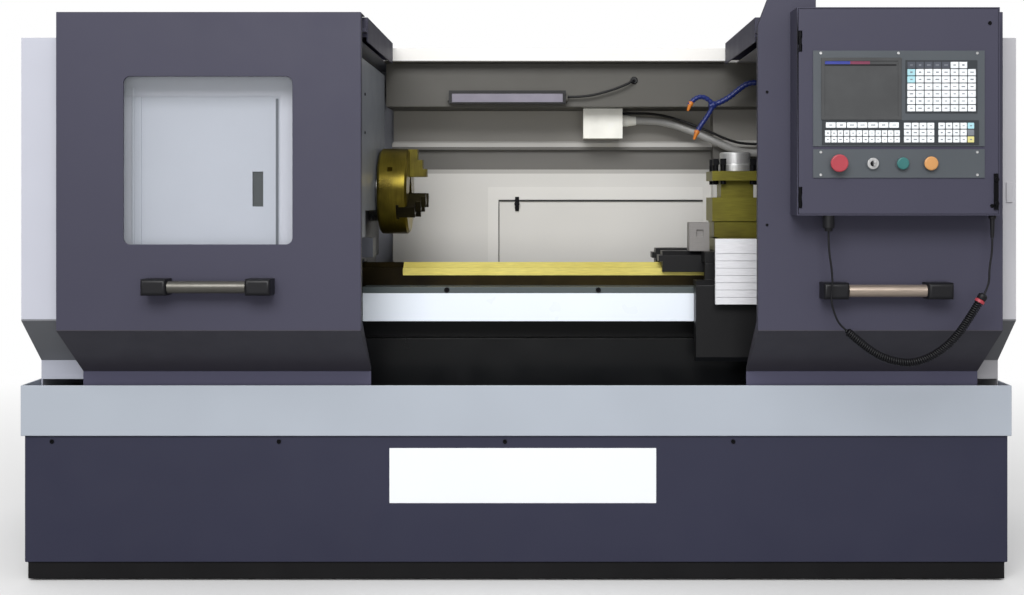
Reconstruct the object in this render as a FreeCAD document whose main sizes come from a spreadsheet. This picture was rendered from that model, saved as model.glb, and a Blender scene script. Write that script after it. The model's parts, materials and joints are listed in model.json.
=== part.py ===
import FreeCAD, Part
import math
import os
import re
import Sketcher

# A flat-bed turning lathe with two sliding front doors and a hanging control box.
# +X runs along the bed from the chuck to the tailstock, +Y runs from the operator's
# side to the back, +Z is up. The origin is on the floor under the middle of the machine.
# All sizes are millimetres.

os.makedirs("parts", exist_ok=True)
doc = FreeCAD.newDocument("turning_lathe")
Vector = FreeCAD.Vector

SIZES = {
    # base, feet and chip tray
    "machine_long": 2545, "base_front": -360, "base_back": 560, "tray_overhang": 8,
    "kick_low": 5, "kick_high": 49, "kick_setback": 6, "cabinet_wall": 6, "cabinet_top": 375,
    "rib_thick": 8, "shelf_low": 60, "shelf_thick": 8,
    "foot_radius": 45, "foot_thick": 14, "foot_stem_radius": 10, "foot_end_inset": 110,
    "foot_side_inset": 90, "tray_top": 505, "tray_floor": 8, "tray_wall": 4,
    "belt_slot_margin": 30,
    # bed
    "bed_inset": 122.5, "bed_left": "=bed_inset - machine_long / 2", "bed_right": 1080, "bed_half": 115,
    "foot_flange": 35,
    "flange_high": 47, "web_thick": 35, "rail_wide": 60, "rail_overhang": 15, "rail_high": 60,
    "way_top": 795, "vee_half": 15, "channel_floor": 520, "window_long": 180,
    "window_pitch": 330, "window_wide": 110,
    # cover over the long feed screw, and the dark skirt below it
    "cover_left": -415, "cover_right": 1036, "cover_front": -210, "cover_low": 656,
    "cover_top": 748, "cover_sheet": 3, "strip_high": 19, "skirt_front": -170,
    # headstock, spindle and chuck
    "axis_high": 1006, "head_right": -420, "head_half": 200, "head_top": 1200,
    "head_slope": 60, "spindle_radius": 60, "spindle_bore": 26, "running_gap": 0.06,
    "spindle_inset": 37.5, "spindle_end": "=spindle_inset - machine_long / 2", "tail_radius": 45,
    "nose_radius": 85, "nose_gap": 2,
    "pulley_inset": 57.5, "pulley_left": "=pulley_inset - machine_long / 2", "pulley_wide": 50,
    "pulley_rim": 5, "rim_rise": 12,
    "spindle_pulley": 105, "motor_pulley": 66, "motor_axis_back": 200, "motor_axis_high": 190,
    "motor_radius": 105, "motor_long": 300, "motor_shaft": 19, "motor_gap": 12,
    "belt_thick": 8, "belt_gap": 0.3,
    "chuck_back": -389, "chuck_face": -307, "chuck_radius": 120, "chuck_edge": 6,
    "chuck_bore": 32, "jaw_wide": 34, "jaw_slot_deep": 30, "jaw_fit": 0.06,
    "jaw_inner": 40, "jaw_step_one": 62, "jaw_step_two": 88, "jaw_outer": 118,
    "jaw_rise_one": 48, "jaw_rise_two": 36, "jaw_rise_three": 22, "key_square": 14,
    "key_deep": 22, "tee_wide": 6, "tee_high": 8,
    # feed screws and motors
    "screw_radius": 16, "screw_high": 690, "screw_front": -178, "screw_left": -440,
    "screw_right": 1090, "screw_gap": 0.06, "bearing_block": 36,
    "journal_step": 4, "x_journal_step": 3, "end_play": 1,
    "z_motor_half": 65, "z_motor_long": 130, "x_screw_radius": 12, "x_screw_high": 829,
    "x_motor_half": 45, "x_motor_long": 110,
    # saddle and apron
    "saddle_left": 394, "saddle_right": 760, "bridge_left": 500, "bridge_right": 742,
    "saddle_front": -230, "saddle_back": 180, "saddle_top": 842, "way_gap": 0.05,
    "wing_half": 150, "wiper_thick": 10, "apron_left": 471, "apron_right": 700,
    "apron_front": -280, "apron_thick": 50, "apron_low": 555, "apron_top": 768,
    "nut_radius": 26, "nut_long": 70, "switch_left": 466, "switch_right": 521,
    "switch_top": 920, "switch_front": -160, "switch_deep": 60,
    "lens_side": 20, "lens_wide": 18, "lens_deep": 6, "lens_rise": 40,
    # cross slide, turret and slatted cover
    "slide_left": 540, "slide_right": 672, "slide_front": -303, "slide_back": 150,
    "slide_top": 880, "slide_gap": 0.05, "gib_wide": 90, "gib_high": 12,
    "turret_x": 601, "turret_y": -80, "turret_base_top": 923, "base_half": 66,
    "turret_gap": 0.3, "turret_half": 71.5, "block_top": 988, "slot_deep": 27,
    "slot_top": 1034, "plate_top": 1060, "post_radius": 22, "post_gap": 0.06,
    "cap_radius": 49, "cap_top": 1113, "cap_step": 20, "bolt_radius": 8, "bolt_head": 15,
    "bolt_rise": 34, "bolt_drop": 10, "bolt_inset": 13, "bolt_along": 40,
    "slats_left": 518, "slats_right": 690, "slats_front": -315, "slats_top": 880,
    "slats_low": 709, "slat_pitch": 19, "slat_step": 4, "slat_sheet": 2, "slat_return": 12,
    # tailstock
    "tail_left": 870, "tail_right": 1080, "tail_half": 80, "barrel_radius": 62,
    "tail_foot_top": 860, "quill_radius": 37.5, "quill_left": 840, "quill_right": 1040,
    "centre_long": 60, "centre_radius": 18, "tail_wheel_radius": 90, "tail_rim": 10,
    "tail_wheel_x": 1125, "tail_screw_radius": 12,
    # end guards, hoods and rear enclosure
    "guard_left_inset": 29.5, "guard_left": "=guard_left_inset - machine_long / 2",
    "guard_right": 1259,
    "guard_front": -440, "guard_sheet": 3,
    "hood_top": 1439, "hood_skirt": 50, "guard_top": "=hood_top - hood_skirt", "guard_skirt": 677,
    "guard_slant_low": 562, "guard_low": 513,
    "guard_strip": -300, "guard_back": 420, "left_inner": -397, "right_inner": 640,
    "catch_inset": 10, "catch_wide": 16, "catch_rise": 5, "catch_low": 975, "catch_top": 1025,
    "service_left": -960, "service_right": -595, "service_low": 730, "service_top": 1240,
    "service_gap": 3, "pull_left": -663, "pull_right": -633, "pull_low": 963,
    "pull_top": 1054, "pull_deep": 10, "service_pin": 4, "service_fit": 0.06,
    "hinge_lug": 20, "stop_wide": 12, "recess_wall": 1.5,
    "hood_front": -452, "hood_back": 120, "hood_drop": 62,
    "left_hood_left": -1120, "left_hood_right": -370, "right_hood_left": 600,
    "right_hood_right": 1190, "rail_drop": 41, "hanger_rail_low": "=hood_top - rail_drop",
    "hanger_rail_high": 12,
    "hanger_rail_front": -482, "hanger_rail_deep": 14,
    "panel_front": -373, "panel_back": 120, "panel_low": 953, "panel_clearance": 94,
    "panel_top": "=hood_top - panel_clearance",
    "panel_notch": 92, "bracket_low": 834, "bracket_high": 50, "bracket_deep": 60,
    "rear_left": -395, "rear_front": 170, "rear_recess": 370, "rear_lower": 350,
    "rear_sheet": 3, "rear_low": 506, "roof_beam_low": 1384, "roof_beam_top": 1424,
    "hood_panel_low": 1257, "ledge_low": 1135, "ledge_top": 1157, "ledge_front": 330,
    "pillar_left": 586, "pillar_front": 296, "clamp_left": 716, "clamp_wide": 24,
    "clamp_front": 236, "clamp_low": 1098, "clamp_top": 1164, "outer_back": 650, "outer_front": 420,
    "outer_low": 560, "outer_left": -1100, "outer_right": 1100,
    "access_left": -69, "access_right": 560, "access_low": 770, "access_top": 981,
    "access_thick": 4, "latch_x": -12, "latch_long": 44, "latch_wide": 12, "latch_thick": 5,
    "latch_pin": 4, "latch_fit": 0.06,
    # lamp and wiring on the rear enclosure
    "lamp_left": -207, "lamp_right": 135, "lamp_y": 140, "lamp_z": 1282, "lamp_high": 38,
    "lamp_deep": 34, "lamp_wall": 4, "lens_inset": 9, "lamp_ear": 5, "lamp_pin": 3,
    "box_left": 191, "box_right": 305, "box_low": 1168, "box_top": 1256, "box_front": 250,
    "conduit_radius": 12, "cable_radius": 4, "lamp_cable_radius": 3.5,
    "box_lip": 2, "box_lid": 12, "conduit_y": 300, "conduit_z": 1222, "nut_rise": 6, "nut_thick": 22,
    "sleeve_long": 24, "pipe_x": 742, "pipe_y": 95, "pipe_clearance": 117,
    "pipe_top": "=hood_top - pipe_clearance", "pipe_radius": 8, "pipe_bend": 40,
    "pipe_end": 694, "pipe_foot": 16, "fork_x": 560, "fork_y": 75, "fork_drop": 67,
    "fork_z": "=pipe_top - fork_drop",
    "fork_ball": 12, "trunk_radius": 9, "branch_radius": 8,
    # doors
    "door_front": -530, "door_sheet": 3, "door_top": 1442, "door_return": -455,
    "door_skirt": 660, "door_slant_low": 537, "door_strip": -330, "door_low": 474.3,
    "door_lip": 24, "rail_gap": 0.3, "door_rail_low": 466, "door_rail_high": 8,
    "left_door_left": -1124, "left_door_right": -377, "window_left": -959,
    "window_right": -545, "window_low": 872, "window_top": 1284, "window_corner": 17,
    "glass_thick": 5, "frame_wide": 14, "right_door_left": 596, "right_door_right": 1196,
    "post_left": 625, "post_right": 738, "post_top": 1486, "post_slope": 1410,
    "shoe_long": 90, "shoe_high": 28.7, "left_handle_x": -745, "left_handle_z": 770, "right_handle_x": 903,
    "right_handle_z": 761, "handle_reach": 40, "handle_half": 157, "handle_radius": 15,
    "handle_foot_long": 62, "handle_foot_half": 20, "handle_foot_round": 9,
    # control box and its hinged front
    "control_left": 675, "control_right": 1159, "control_low": 944, "control_top": 1441,
    "control_front": -620, "control_sheet": 3, "lid_gap": 1, "lid_hinge_x": 682.5,
    "knuckle_radius": 4, "hinge_pin": 2, "hinge_fit": 0.06, "hinge_long": 48,
    "hinge_low_z": 963, "hinge_top_z": 1336, "knuckle_gap": 0.3, "knuckle_share": 16,
    "plate_left": 713, "plate_right": 1122, "plate_low": 1109, "plate_high": 1337,
    "plate_thick": 3, "button_plate_low": 1034, "button_plate_high": 1102,
    "screen_left": 740, "screen_right": 915, "screen_low": 1180, "screen_high": 1312,
    "keys_left": 933, "keys_right": 1104, "keys_low": 1188, "keys_high": 1314,
    "strip_left": 734, "strip_right": 1108, "strip_low": 1112, "strip_top": 1171,
    "pad_thick": 2, "key_rise": 1, "key_gap": 1.5, "button_z": 1068, "estop_x": 771, "key_x": 855,
    "start_x": 925, "stop_x": 992, "estop_radius": 21, "estop_front": -650,
    "estop_head": 17, "button_stem": 11, "button_fit": 0.08, "start_radius": 14.5,
    "stop_radius": 16.5, "key_radius": 16.5, "cap_front": -636, "cap_deep": 8,
    "plug_radius": 8, "key_reach": 8, "key_long": 34, "key_thick": 2.5, "key_wide": 12,
    "panel_latch_x": 1149, "panel_latch_z": 1001, "panel_latch_long": 86,
    "panel_latch_wide": 10, "panel_latch_thick": 6, "panel_latch_pin": 3.5,
    # curly cord under the control box
    "lead_radius": 2.5, "coil_radius": 10.5, "coil_wire": 2.4, "coil_curls": 40,
    "cord_y": -607, "socket_radius": 14, "socket_low": 906, "lead_x": 753, "relief_radius": 6,
    "relief_low": 890, "relief_x": 1146, "relief_y": -604,
}

sheet = doc.addObject("Spreadsheet::Sheet", "sizes")
for row, (alias, value) in enumerate(SIZES.items(), start=1):
    sheet.set(f"A{row}", alias)
    sheet.set(f"B{row}", str(value))
    sheet.setAlias(f"B{row}", alias)
doc.recompute()

WORD = re.compile(r"[a-z][a-z_0-9]*")
ALONG = {
    "x": FreeCAD.Rotation(Vector(0, 1, 0), 90),
    "y": FreeCAD.Rotation(Vector(1, 0, 0), -90),
    "z": FreeCAD.Rotation(),
}


def size(alias):
    """Read one value back from the sheet."""
    return float(getattr(sheet, alias))


def bind(item, prop, text):
    """Tie a property to an expression written with the sheet's own words."""
    item.setExpression(prop, WORD.sub(r"sizes.\g<0>", str(text)))


def place(item, x, y, z):
    """Tie the position of an item to three expressions."""
    for prop, text in zip("xyz", (x, y, z)):
        bind(item, f"Placement.Base.{prop}", text)
    return item


def slab(x, y, z):
    """A block between three pairs of limits."""
    item = doc.addObject("Part::Box", "slab")
    for prop, (low, high) in zip(("Length", "Width", "Height"), (x, y, z)):
        bind(item, prop, f"({high}) - ({low})")
    return place(item, x[0], y[0], z[0])


def rod(along, start, radius, length):
    """A round bar from its start point in the positive direction of one axis."""
    item = doc.addObject("Part::Cylinder", "rod")
    item.Placement = FreeCAD.Placement(Vector(), ALONG[along])
    bind(item, "Radius", radius)
    bind(item, "Height", length)
    return place(item, *start)


def cone(along, start, radius, end_radius, length):
    """A tapered round bar."""
    item = doc.addObject("Part::Cone", "cone")
    item.Placement = FreeCAD.Placement(Vector(), ALONG[along])
    bind(item, "Radius1", radius)
    bind(item, "Radius2", end_radius)
    bind(item, "Height", length)
    return place(item, *start)


def join(*items):
    """One solid from several that meet."""
    item = doc.addObject("Part::MultiFuse", "join")
    item.Shapes = list(items)
    item.Refine = True
    return item


def cut(base, *tools):
    """The base less every tool."""
    item = doc.addObject("Part::Cut", "cut")
    item.Base = base
    item.Tool = tools[0] if len(tools) == 1 else join(*tools)
    item.Refine = True
    return item


def group(*items):
    """Several separate solids of one kind, kept apart in one piece."""
    item = doc.addObject("Part::Compound", "group")
    item.Links = list(items)
    return item


def name(label, item):
    """Give a finished sub-part its own label, which names its file."""
    item.Label = label
    finished.append(item)
    return item


def plane_of(body, role):
    """One of the body's own origin planes."""
    for feature in body.Origin.OriginFeatures:
        if feature.Role == role:
            return feature
    raise ValueError(role)


def outline(body, role, offset, points):
    """A closed outline of straight lines, each corner tied to the sheet."""
    sketch = body.newObject("Sketcher::SketchObject", "outline")
    sketch.AttachmentSupport = (plane_of(body, role), [""])
    sketch.MapMode = "FlatFace"
    bind(sketch, "AttachmentOffset.Base.z", offset)
    count = len(points)
    ring = [Vector(100 * math.cos(math.tau * i / count), 100 * math.sin(math.tau * i / count), 0)
            for i in range(count)]
    sketch.addGeometry([Part.LineSegment(ring[i], ring[(i + 1) % count]) for i in range(count)], False)
    sketch.addConstraint([Sketcher.Constraint("Coincident", i, 2, (i + 1) % count, 1)
                          for i in range(count)])
    for corner, pair in enumerate(points):
        for kind, text in zip(("DistanceX", "DistanceY"), pair):
            which = sketch.addConstraint(Sketcher.Constraint(kind, -1, 1, corner, 1, 1.0 + corner))
            bind(sketch, f"Constraints[{which}]", text)
    return sketch


def prism(role, offset, points, length):
    """A body padded from an outline on one of its origin planes."""
    body = doc.addObject("PartDesign::Body", "prism")
    pad = body.newObject("PartDesign::Pad", "pad")
    pad.Profile = outline(body, role, offset, points)
    bind(pad, "Length", length)
    return body


def along_x(left, right, points):
    """A section drawn in Y and Z, carried from one X to another."""
    return prism("YZ_Plane", left, points, f"({right}) - ({left})")


def along_y(front, back, points):
    """An outline drawn in X and Z, carried from front to back."""
    return prism("XZ_Plane", f"-({back})", points, f"({back}) - ({front})")


def turned(points, at=("0", "0", "0"), along="x"):
    """A body turned about its own length from pairs of distance and radius."""
    body = doc.addObject("PartDesign::Body", "turned")
    sketch = outline(body, "XY_Plane", "0", points)
    revolution = body.newObject("PartDesign::Revolution", "revolution")
    revolution.Profile = sketch
    revolution.ReferenceAxis = (sketch, ["H_Axis"])
    revolution.Angle = 360
    if along == "y":
        body.Placement = FreeCAD.Placement(Vector(), FreeCAD.Rotation(Vector(0, 0, 1), 90))
    if along == "z":
        body.Placement = FreeCAD.Placement(Vector(), FreeCAD.Rotation(Vector(0, 1, 0), -90))
    return place(body, *at)


def rounded(body, radius, test):
    """Round the edges of a body that pass a test on their shape."""
    doc.recompute()
    last = body.Tip
    edges = [f"Edge{i}" for i, edge in enumerate(last.Shape.Edges, start=1) if test(edge)]
    fillet = body.newObject("PartDesign::Fillet", "round")
    fillet.Base = (last, edges)
    bind(fillet, "Radius", radius)
    return body


def runs_along(axis):
    """A test for straight edges along one axis."""
    def test(edge):
        way = edge.tangentAt(edge.FirstParameter)
        straight = edge.Curve.TypeId == "Part::GeomLine"
        return straight and abs(getattr(way, axis)) > 0.999
    return test


finished = []


# --- base -----------------------------------------------------------------------------

def base_cabinet():
    """The welded cabinet with its toe kick, ribs, motor shelf and belt slot."""
    half = "(machine_long / 2 - tray_overhang)"
    shell = slab((f"-{half}", half), ("base_front", "base_back"), ("kick_high", "cabinet_top"))
    room = slab((f"cabinet_wall - {half}", f"{half} - cabinet_wall"),
                ("base_front + cabinet_wall", "base_back - cabinet_wall"),
                ("kick_high + cabinet_wall", "cabinet_top - cabinet_wall"))
    mouth = slab((f"kick_setback + cabinet_wall - {half}", f"{half} - kick_setback - cabinet_wall"),
                 ("base_front + kick_setback + cabinet_wall", "base_back - kick_setback - cabinet_wall"),
                 ("kick_high", "kick_high + cabinet_wall"))
    kick = slab((f"kick_setback - {half}", f"{half} - kick_setback"),
                ("base_front + kick_setback", "base_back - kick_setback"), ("kick_low", "kick_high"))
    kick_room = slab((f"kick_setback + cabinet_wall - {half}", f"{half} - kick_setback - cabinet_wall"),
                     ("base_front + kick_setback + cabinet_wall", "base_back - kick_setback - cabinet_wall"),
                     ("kick_low", "kick_high"))
    ribs = [slab((f"{x} - rib_thick / 2", f"{x} + rib_thick / 2"),
                 ("base_front + cabinet_wall", "base_back - cabinet_wall"),
                 ("kick_high", "cabinet_top - cabinet_wall")) for x in foot_places()]
    shelf = slab((f"-{half} + cabinet_wall", "bed_left + motor_long"),
                 ("base_front + cabinet_wall", "base_back - cabinet_wall"),
                 ("shelf_low", "shelf_low + shelf_thick"))
    pads = [slab((f"{x} - foot_radius", f"{x} + foot_radius"), (f"{y} - foot_radius", f"{y} + foot_radius"),
                 ("kick_high", "kick_high + cabinet_wall")) for x in foot_places() for y in foot_rows()]
    frame = join(cut(shell, room, mouth), cut(kick, kick_room), *ribs, *pads)
    motor_room = slab((f"-{half} + cabinet_wall", "bed_left + motor_long"),
                      ("-spindle_pulley - belt_slot_margin", "motor_axis_back + motor_radius + motor_gap"),
                      ("shelf_low", "cabinet_top - cabinet_wall"))
    return name("base_cabinet", cut(join(cut(frame, motor_room), shelf), belt_slot()))


def foot_places():
    """The places of the feet along the machine, which the ribs share."""
    inset = "(machine_long / 2 - foot_end_inset)"
    return [f"(-{inset})", f"(-{inset} / 3)", f"({inset} / 3)", inset]


def foot_rows():
    """The front and back rows of feet."""
    return ["(base_front + foot_side_inset)", "(base_back - foot_side_inset)"]


def belt_slot():
    """The passage for the belt through the cabinet top and the tray floor."""
    return slab(("pulley_left - pulley_rim - rim_rise", "pulley_left + pulley_wide + pulley_rim + rim_rise"),
                ("-spindle_pulley - belt_slot_margin", "motor_axis_back + motor_pulley + belt_slot_margin"),
                ("cabinet_top - 2 * cabinet_wall", "cabinet_top + tray_floor"))


def levelling_feet():
    """Eight round pads on stems under the cabinet."""
    feet = []
    for x in foot_places():
        for y in foot_rows():
            feet.append(turned([("0", "0"), ("kick_high", "0"), ("kick_high", "foot_stem_radius"),
                                ("foot_thick", "foot_stem_radius"), ("foot_thick", "foot_radius"),
                                ("0", "foot_radius")], (x, y, "0"), "z"))
    return name("levelling_feet", group(*feet))


def chip_tray():
    """The tray over the whole base, with the lower rails that the doors slide on."""
    outer = slab(("-machine_long / 2", "machine_long / 2"),
                 ("base_front - tray_overhang", "base_back + tray_overhang"), ("cabinet_top", "tray_top"))
    basin = slab(("tray_wall - machine_long / 2", "machine_long / 2 - tray_wall"),
                 ("base_front - tray_overhang + tray_wall", "base_back + tray_overhang - tray_wall"),
                 ("cabinet_top + tray_floor", "tray_top"))
    rail = slab(("tray_wall - machine_long / 2", "machine_long / 2 - tray_wall"),
                ("base_front - tray_overhang + tray_wall", "door_strip + 2 * door_sheet"),
                ("door_rail_low", "door_rail_low + door_rail_high"))
    return name("chip_tray", cut(join(cut(outer, basin), rail), belt_slot()))


def bed():
    """The cast bed: a vee way in front, a flat way behind, and windows between them."""
    body = doc.addObject("PartDesign::Body", "bed")
    side = "(bed_half + foot_flange)"
    rail_in = "(bed_half + rail_overhang - rail_wide)"
    vee = "(bed_half + rail_overhang - rail_wide / 2)"
    points = [(f"-{side}", "cabinet_top + tray_floor"), (side, "cabinet_top + tray_floor"),
              (side, "cabinet_top + tray_floor + flange_high"),
              ("bed_half", "cabinet_top + tray_floor + flange_high + foot_flange"),
              ("bed_half", "way_top - rail_high - rail_overhang"),
              ("bed_half + rail_overhang", "way_top - rail_high"), ("bed_half + rail_overhang", "way_top"),
              (rail_in, "way_top"), (rail_in, "way_top - rail_high"),
              ("bed_half - web_thick", "way_top - rail_high - rail_overhang"),
              ("bed_half - web_thick", "channel_floor"), ("web_thick - bed_half", "channel_floor"),
              ("web_thick - bed_half", "way_top - rail_high - rail_overhang"),
              (f"-{rail_in}", "way_top - rail_high"), (f"-{rail_in}", "way_top"),
              (f"vee_half - {vee}", "way_top"), (f"-{vee}", "way_top + vee_half"),
              (f"-vee_half - {vee}", "way_top"), ("-bed_half - rail_overhang", "way_top"),
              ("-bed_half - rail_overhang", "way_top - rail_high"),
              ("-bed_half", "way_top - rail_high - rail_overhang"),
              ("-bed_half", "cabinet_top + tray_floor + flange_high + foot_flange"),
              (f"-{side}", "cabinet_top + tray_floor + flange_high")]
    pad = body.newObject("PartDesign::Pad", "casting")
    pad.Profile = outline(body, "YZ_Plane", "bed_left", points)
    bind(pad, "Length", "bed_right - bed_left")
    window = body.newObject("PartDesign::Pocket", "window")
    start = "(head_right + window_wide)"
    window.Profile = outline(body, "XY_Plane", "channel_floor", [
        (start, "-window_wide / 2"), (f"{start} + window_long", "-window_wide / 2"),
        (f"{start} + window_long", "window_wide / 2"), (start, "window_wide / 2")])
    bind(window, "Length", "channel_floor - cabinet_top - tray_floor")
    row_of_windows = body.newObject("PartDesign::LinearPattern", "windows")
    row_of_windows.Originals = [window]
    row_of_windows.Direction = (window.Profile[0], ["H_Axis"])
    row_of_windows.Occurrences = 4
    bind(row_of_windows, "Length", "window_pitch * 3")
    body.Tip = row_of_windows
    return name("bed", body)


def screw_cover():
    """The folded cover over the long screw, its flat top strip, and the dark skirt below."""
    skirt_top = "cover_low - nut_radius - 2 * gib_high"
    plate = slab(("cover_left", "cover_right"), ("cover_front", "cover_front + cover_sheet"),
                 ("cover_low", "cover_top"))
    top = slab(("cover_left", "cover_right"), ("cover_front", "-bed_half - rail_overhang"),
               ("cover_top - cover_sheet", "cover_top"))
    strip = slab(("cover_left", "cover_right"), ("cover_front", "cover_front + 2 * cover_sheet"),
                 ("cover_top - strip_high", "cover_top"))
    fold = slab(("cover_left", "cover_right"), ("cover_front", "cover_front + 4 * cover_sheet"),
                ("cover_low", "cover_low + cover_sheet"))
    skirt = slab(("cover_left", "cover_right"), ("skirt_front", "skirt_front + cover_sheet"),
                 ("cabinet_top + tray_floor", skirt_top))
    shelf = slab(("cover_left", "cover_right"), ("skirt_front", "-bed_half"),
                 (f"{skirt_top} - cover_sheet", skirt_top))
    return name("screw_cover", group(join(plate, top, strip, fold), join(skirt, shelf)))


# --- headstock, spindle, chuck and main drive --------------------------------------------

def headstock():
    """The headstock casting on the bed, bored for the spindle."""
    casting = along_x("bed_left", "head_right", [
        ("-head_half", "way_top + vee_half + rib_thick"), ("-bed_half - rail_overhang",
                                                           "way_top + vee_half + rib_thick"),
        ("-bed_half - rail_overhang", "way_top + vee_half"),
        ("rail_wide - bed_half - rail_overhang", "way_top + vee_half"),
        ("rail_wide - bed_half - rail_overhang", "way_top"), ("bed_half + rail_overhang", "way_top"),
        ("bed_half + rail_overhang", "way_top + vee_half + rib_thick"),
        ("head_half", "way_top + vee_half + rib_thick"),
        ("head_half", "head_top - head_slope"), ("head_half - head_slope", "head_top"),
        ("head_slope - head_half", "head_top"), ("-head_half", "head_top - head_slope")])
    bore = rod("x", ("bed_left", "0", "axis_high"), "spindle_radius + running_gap", "head_right - bed_left")
    return name("headstock", cut(casting, bore))


def spindle():
    """The hollow spindle with its rimmed belt pulley at the tail and its nose flange."""
    nose = "head_right + nose_gap"
    right = "pulley_left + pulley_wide"
    return name("spindle", turned([
        ("spindle_end", "spindle_bore"), ("chuck_back", "spindle_bore"), ("chuck_back", "nose_radius"),
        (nose, "nose_radius"), (nose, "spindle_radius"), ("bed_left - nose_gap", "spindle_radius"),
        ("bed_left - nose_gap", "tail_radius"), (f"{right} + pulley_rim", "tail_radius"),
        (f"{right} + pulley_rim", "spindle_pulley + rim_rise"), (right, "spindle_pulley + rim_rise"),
        (right, "spindle_pulley"), ("pulley_left", "spindle_pulley"),
        ("pulley_left", "spindle_pulley + rim_rise"), ("pulley_left - pulley_rim",
                                                       "spindle_pulley + rim_rise"),
        ("pulley_left - pulley_rim", "tail_radius"), ("spindle_end", "tail_radius")],
        ("0", "0", "axis_high")))


def motor_pulley():
    """The small rimmed pulley and shaft of the main motor."""
    right = "pulley_left + pulley_wide"
    return name("motor_pulley", turned([
        ("pulley_left - pulley_rim", "0"), ("bed_left + motor_gap", "0"),
        ("bed_left + motor_gap", "motor_shaft"),
        (f"{right} + pulley_rim", "motor_shaft"), (f"{right} + pulley_rim", "motor_pulley + rim_rise"),
        (right, "motor_pulley + rim_rise"), (right, "motor_pulley"), ("pulley_left", "motor_pulley"),
        ("pulley_left", "motor_pulley + rim_rise"), ("pulley_left - pulley_rim", "motor_pulley + rim_rise")],
        ("0", "motor_axis_back", "motor_axis_high")))


def main_motor():
    """The finned main motor on its feet, standing on the shelf in the cabinet."""
    left = "(bed_left - motor_gap / 2)"
    barrel = turned([(left, "motor_shaft + running_gap"),
                     (f"{left} + motor_gap * 3", "motor_shaft + running_gap"),
                     (f"{left} + motor_gap * 3", "0"), (f"{left} + motor_long", "0"),
                     (f"{left} + motor_long", "motor_radius - motor_gap"),
                     (f"{left} + motor_long - motor_gap", "motor_radius"),
                     (f"{left} + motor_gap", "motor_radius"),
                     (left, "motor_radius - motor_gap")], ("0", "motor_axis_back", "motor_axis_high"))
    foot = slab((f"{left} + 2 * motor_gap", f"{left} + motor_long - 2 * motor_gap"),
                ("motor_axis_back - motor_radius", "motor_axis_back + motor_radius"),
                ("shelf_low + shelf_thick", "motor_axis_high - motor_radius / 2"))
    grooves = []
    for step in range(1, 7):
        start = f"{left} + motor_long * {step} / 7"
        ring = cut(rod("x", (start, "motor_axis_back", "motor_axis_high"), "motor_radius * 2", "motor_gap"),
                   rod("x", (start, "motor_axis_back", "motor_axis_high"), "motor_radius - motor_gap",
                       "motor_gap"))
        keep = slab((start, f"{start} + motor_gap"), ("motor_axis_back - 3 * motor_radius",
                    "motor_axis_back + 3 * motor_radius"), ("shelf_low",
                    "motor_axis_high - motor_radius / 2"))
        grooves.append(cut(ring, keep))
    return name("main_motor", cut(join(barrel, foot), *grooves))


def drive_belt():
    """One closed belt round the two pulleys: two arcs joined by the outer tangents."""
    low = Vector(0, size("motor_axis_back"), size("motor_axis_high"))
    high = Vector(0, 0, size("axis_high"))

    def loop(extra):
        small = size("motor_pulley") + extra
        large = size("spindle_pulley") + extra
        way = high - low
        lean = math.acos((small - large) / way.Length)
        way.normalize()
        side = Vector(0, -way.z, way.y)
        ends = {sign: way * math.cos(lean) + side * math.sin(lean) * sign for sign in (1, -1)}
        return Part.Wire([
            Part.Arc(low + ends[1] * small, low - way * small, low + ends[-1] * small).toShape(),
            Part.makeLine(low + ends[-1] * small, high + ends[-1] * large),
            Part.Arc(high + ends[-1] * large, high + way * large, high + ends[1] * large).toShape(),
            Part.makeLine(high + ends[1] * large, low + ends[1] * small)])

    inner = loop(size("belt_gap"))
    outer = loop(size("belt_gap") + size("belt_thick"))
    band = Part.makeFace([outer, inner], "Part::FaceMakerBullseye")
    item = doc.addObject("Part::Feature", "belt")
    item.Shape = band.extrude(Vector(size("pulley_wide") - 2 * size("belt_gap"), 0, 0))
    place(item, "pulley_left + belt_gap", "0", "0")
    return name("drive_belt", item)


def jaw_angles():
    """Where the three jaws stand about the spindle: one up, two low."""
    return {"chuck_jaw_top": 0, "chuck_jaw_front": 120, "chuck_jaw_rear": 240}


def chuck_turn(item, angle):
    """Turn an item drawn at the top of the chuck about the spindle axis."""
    item.Placement = FreeCAD.Placement(Vector(), FreeCAD.Rotation(Vector(1, 0, 0), angle))
    return place(item, "0", "0", "axis_high")


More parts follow.
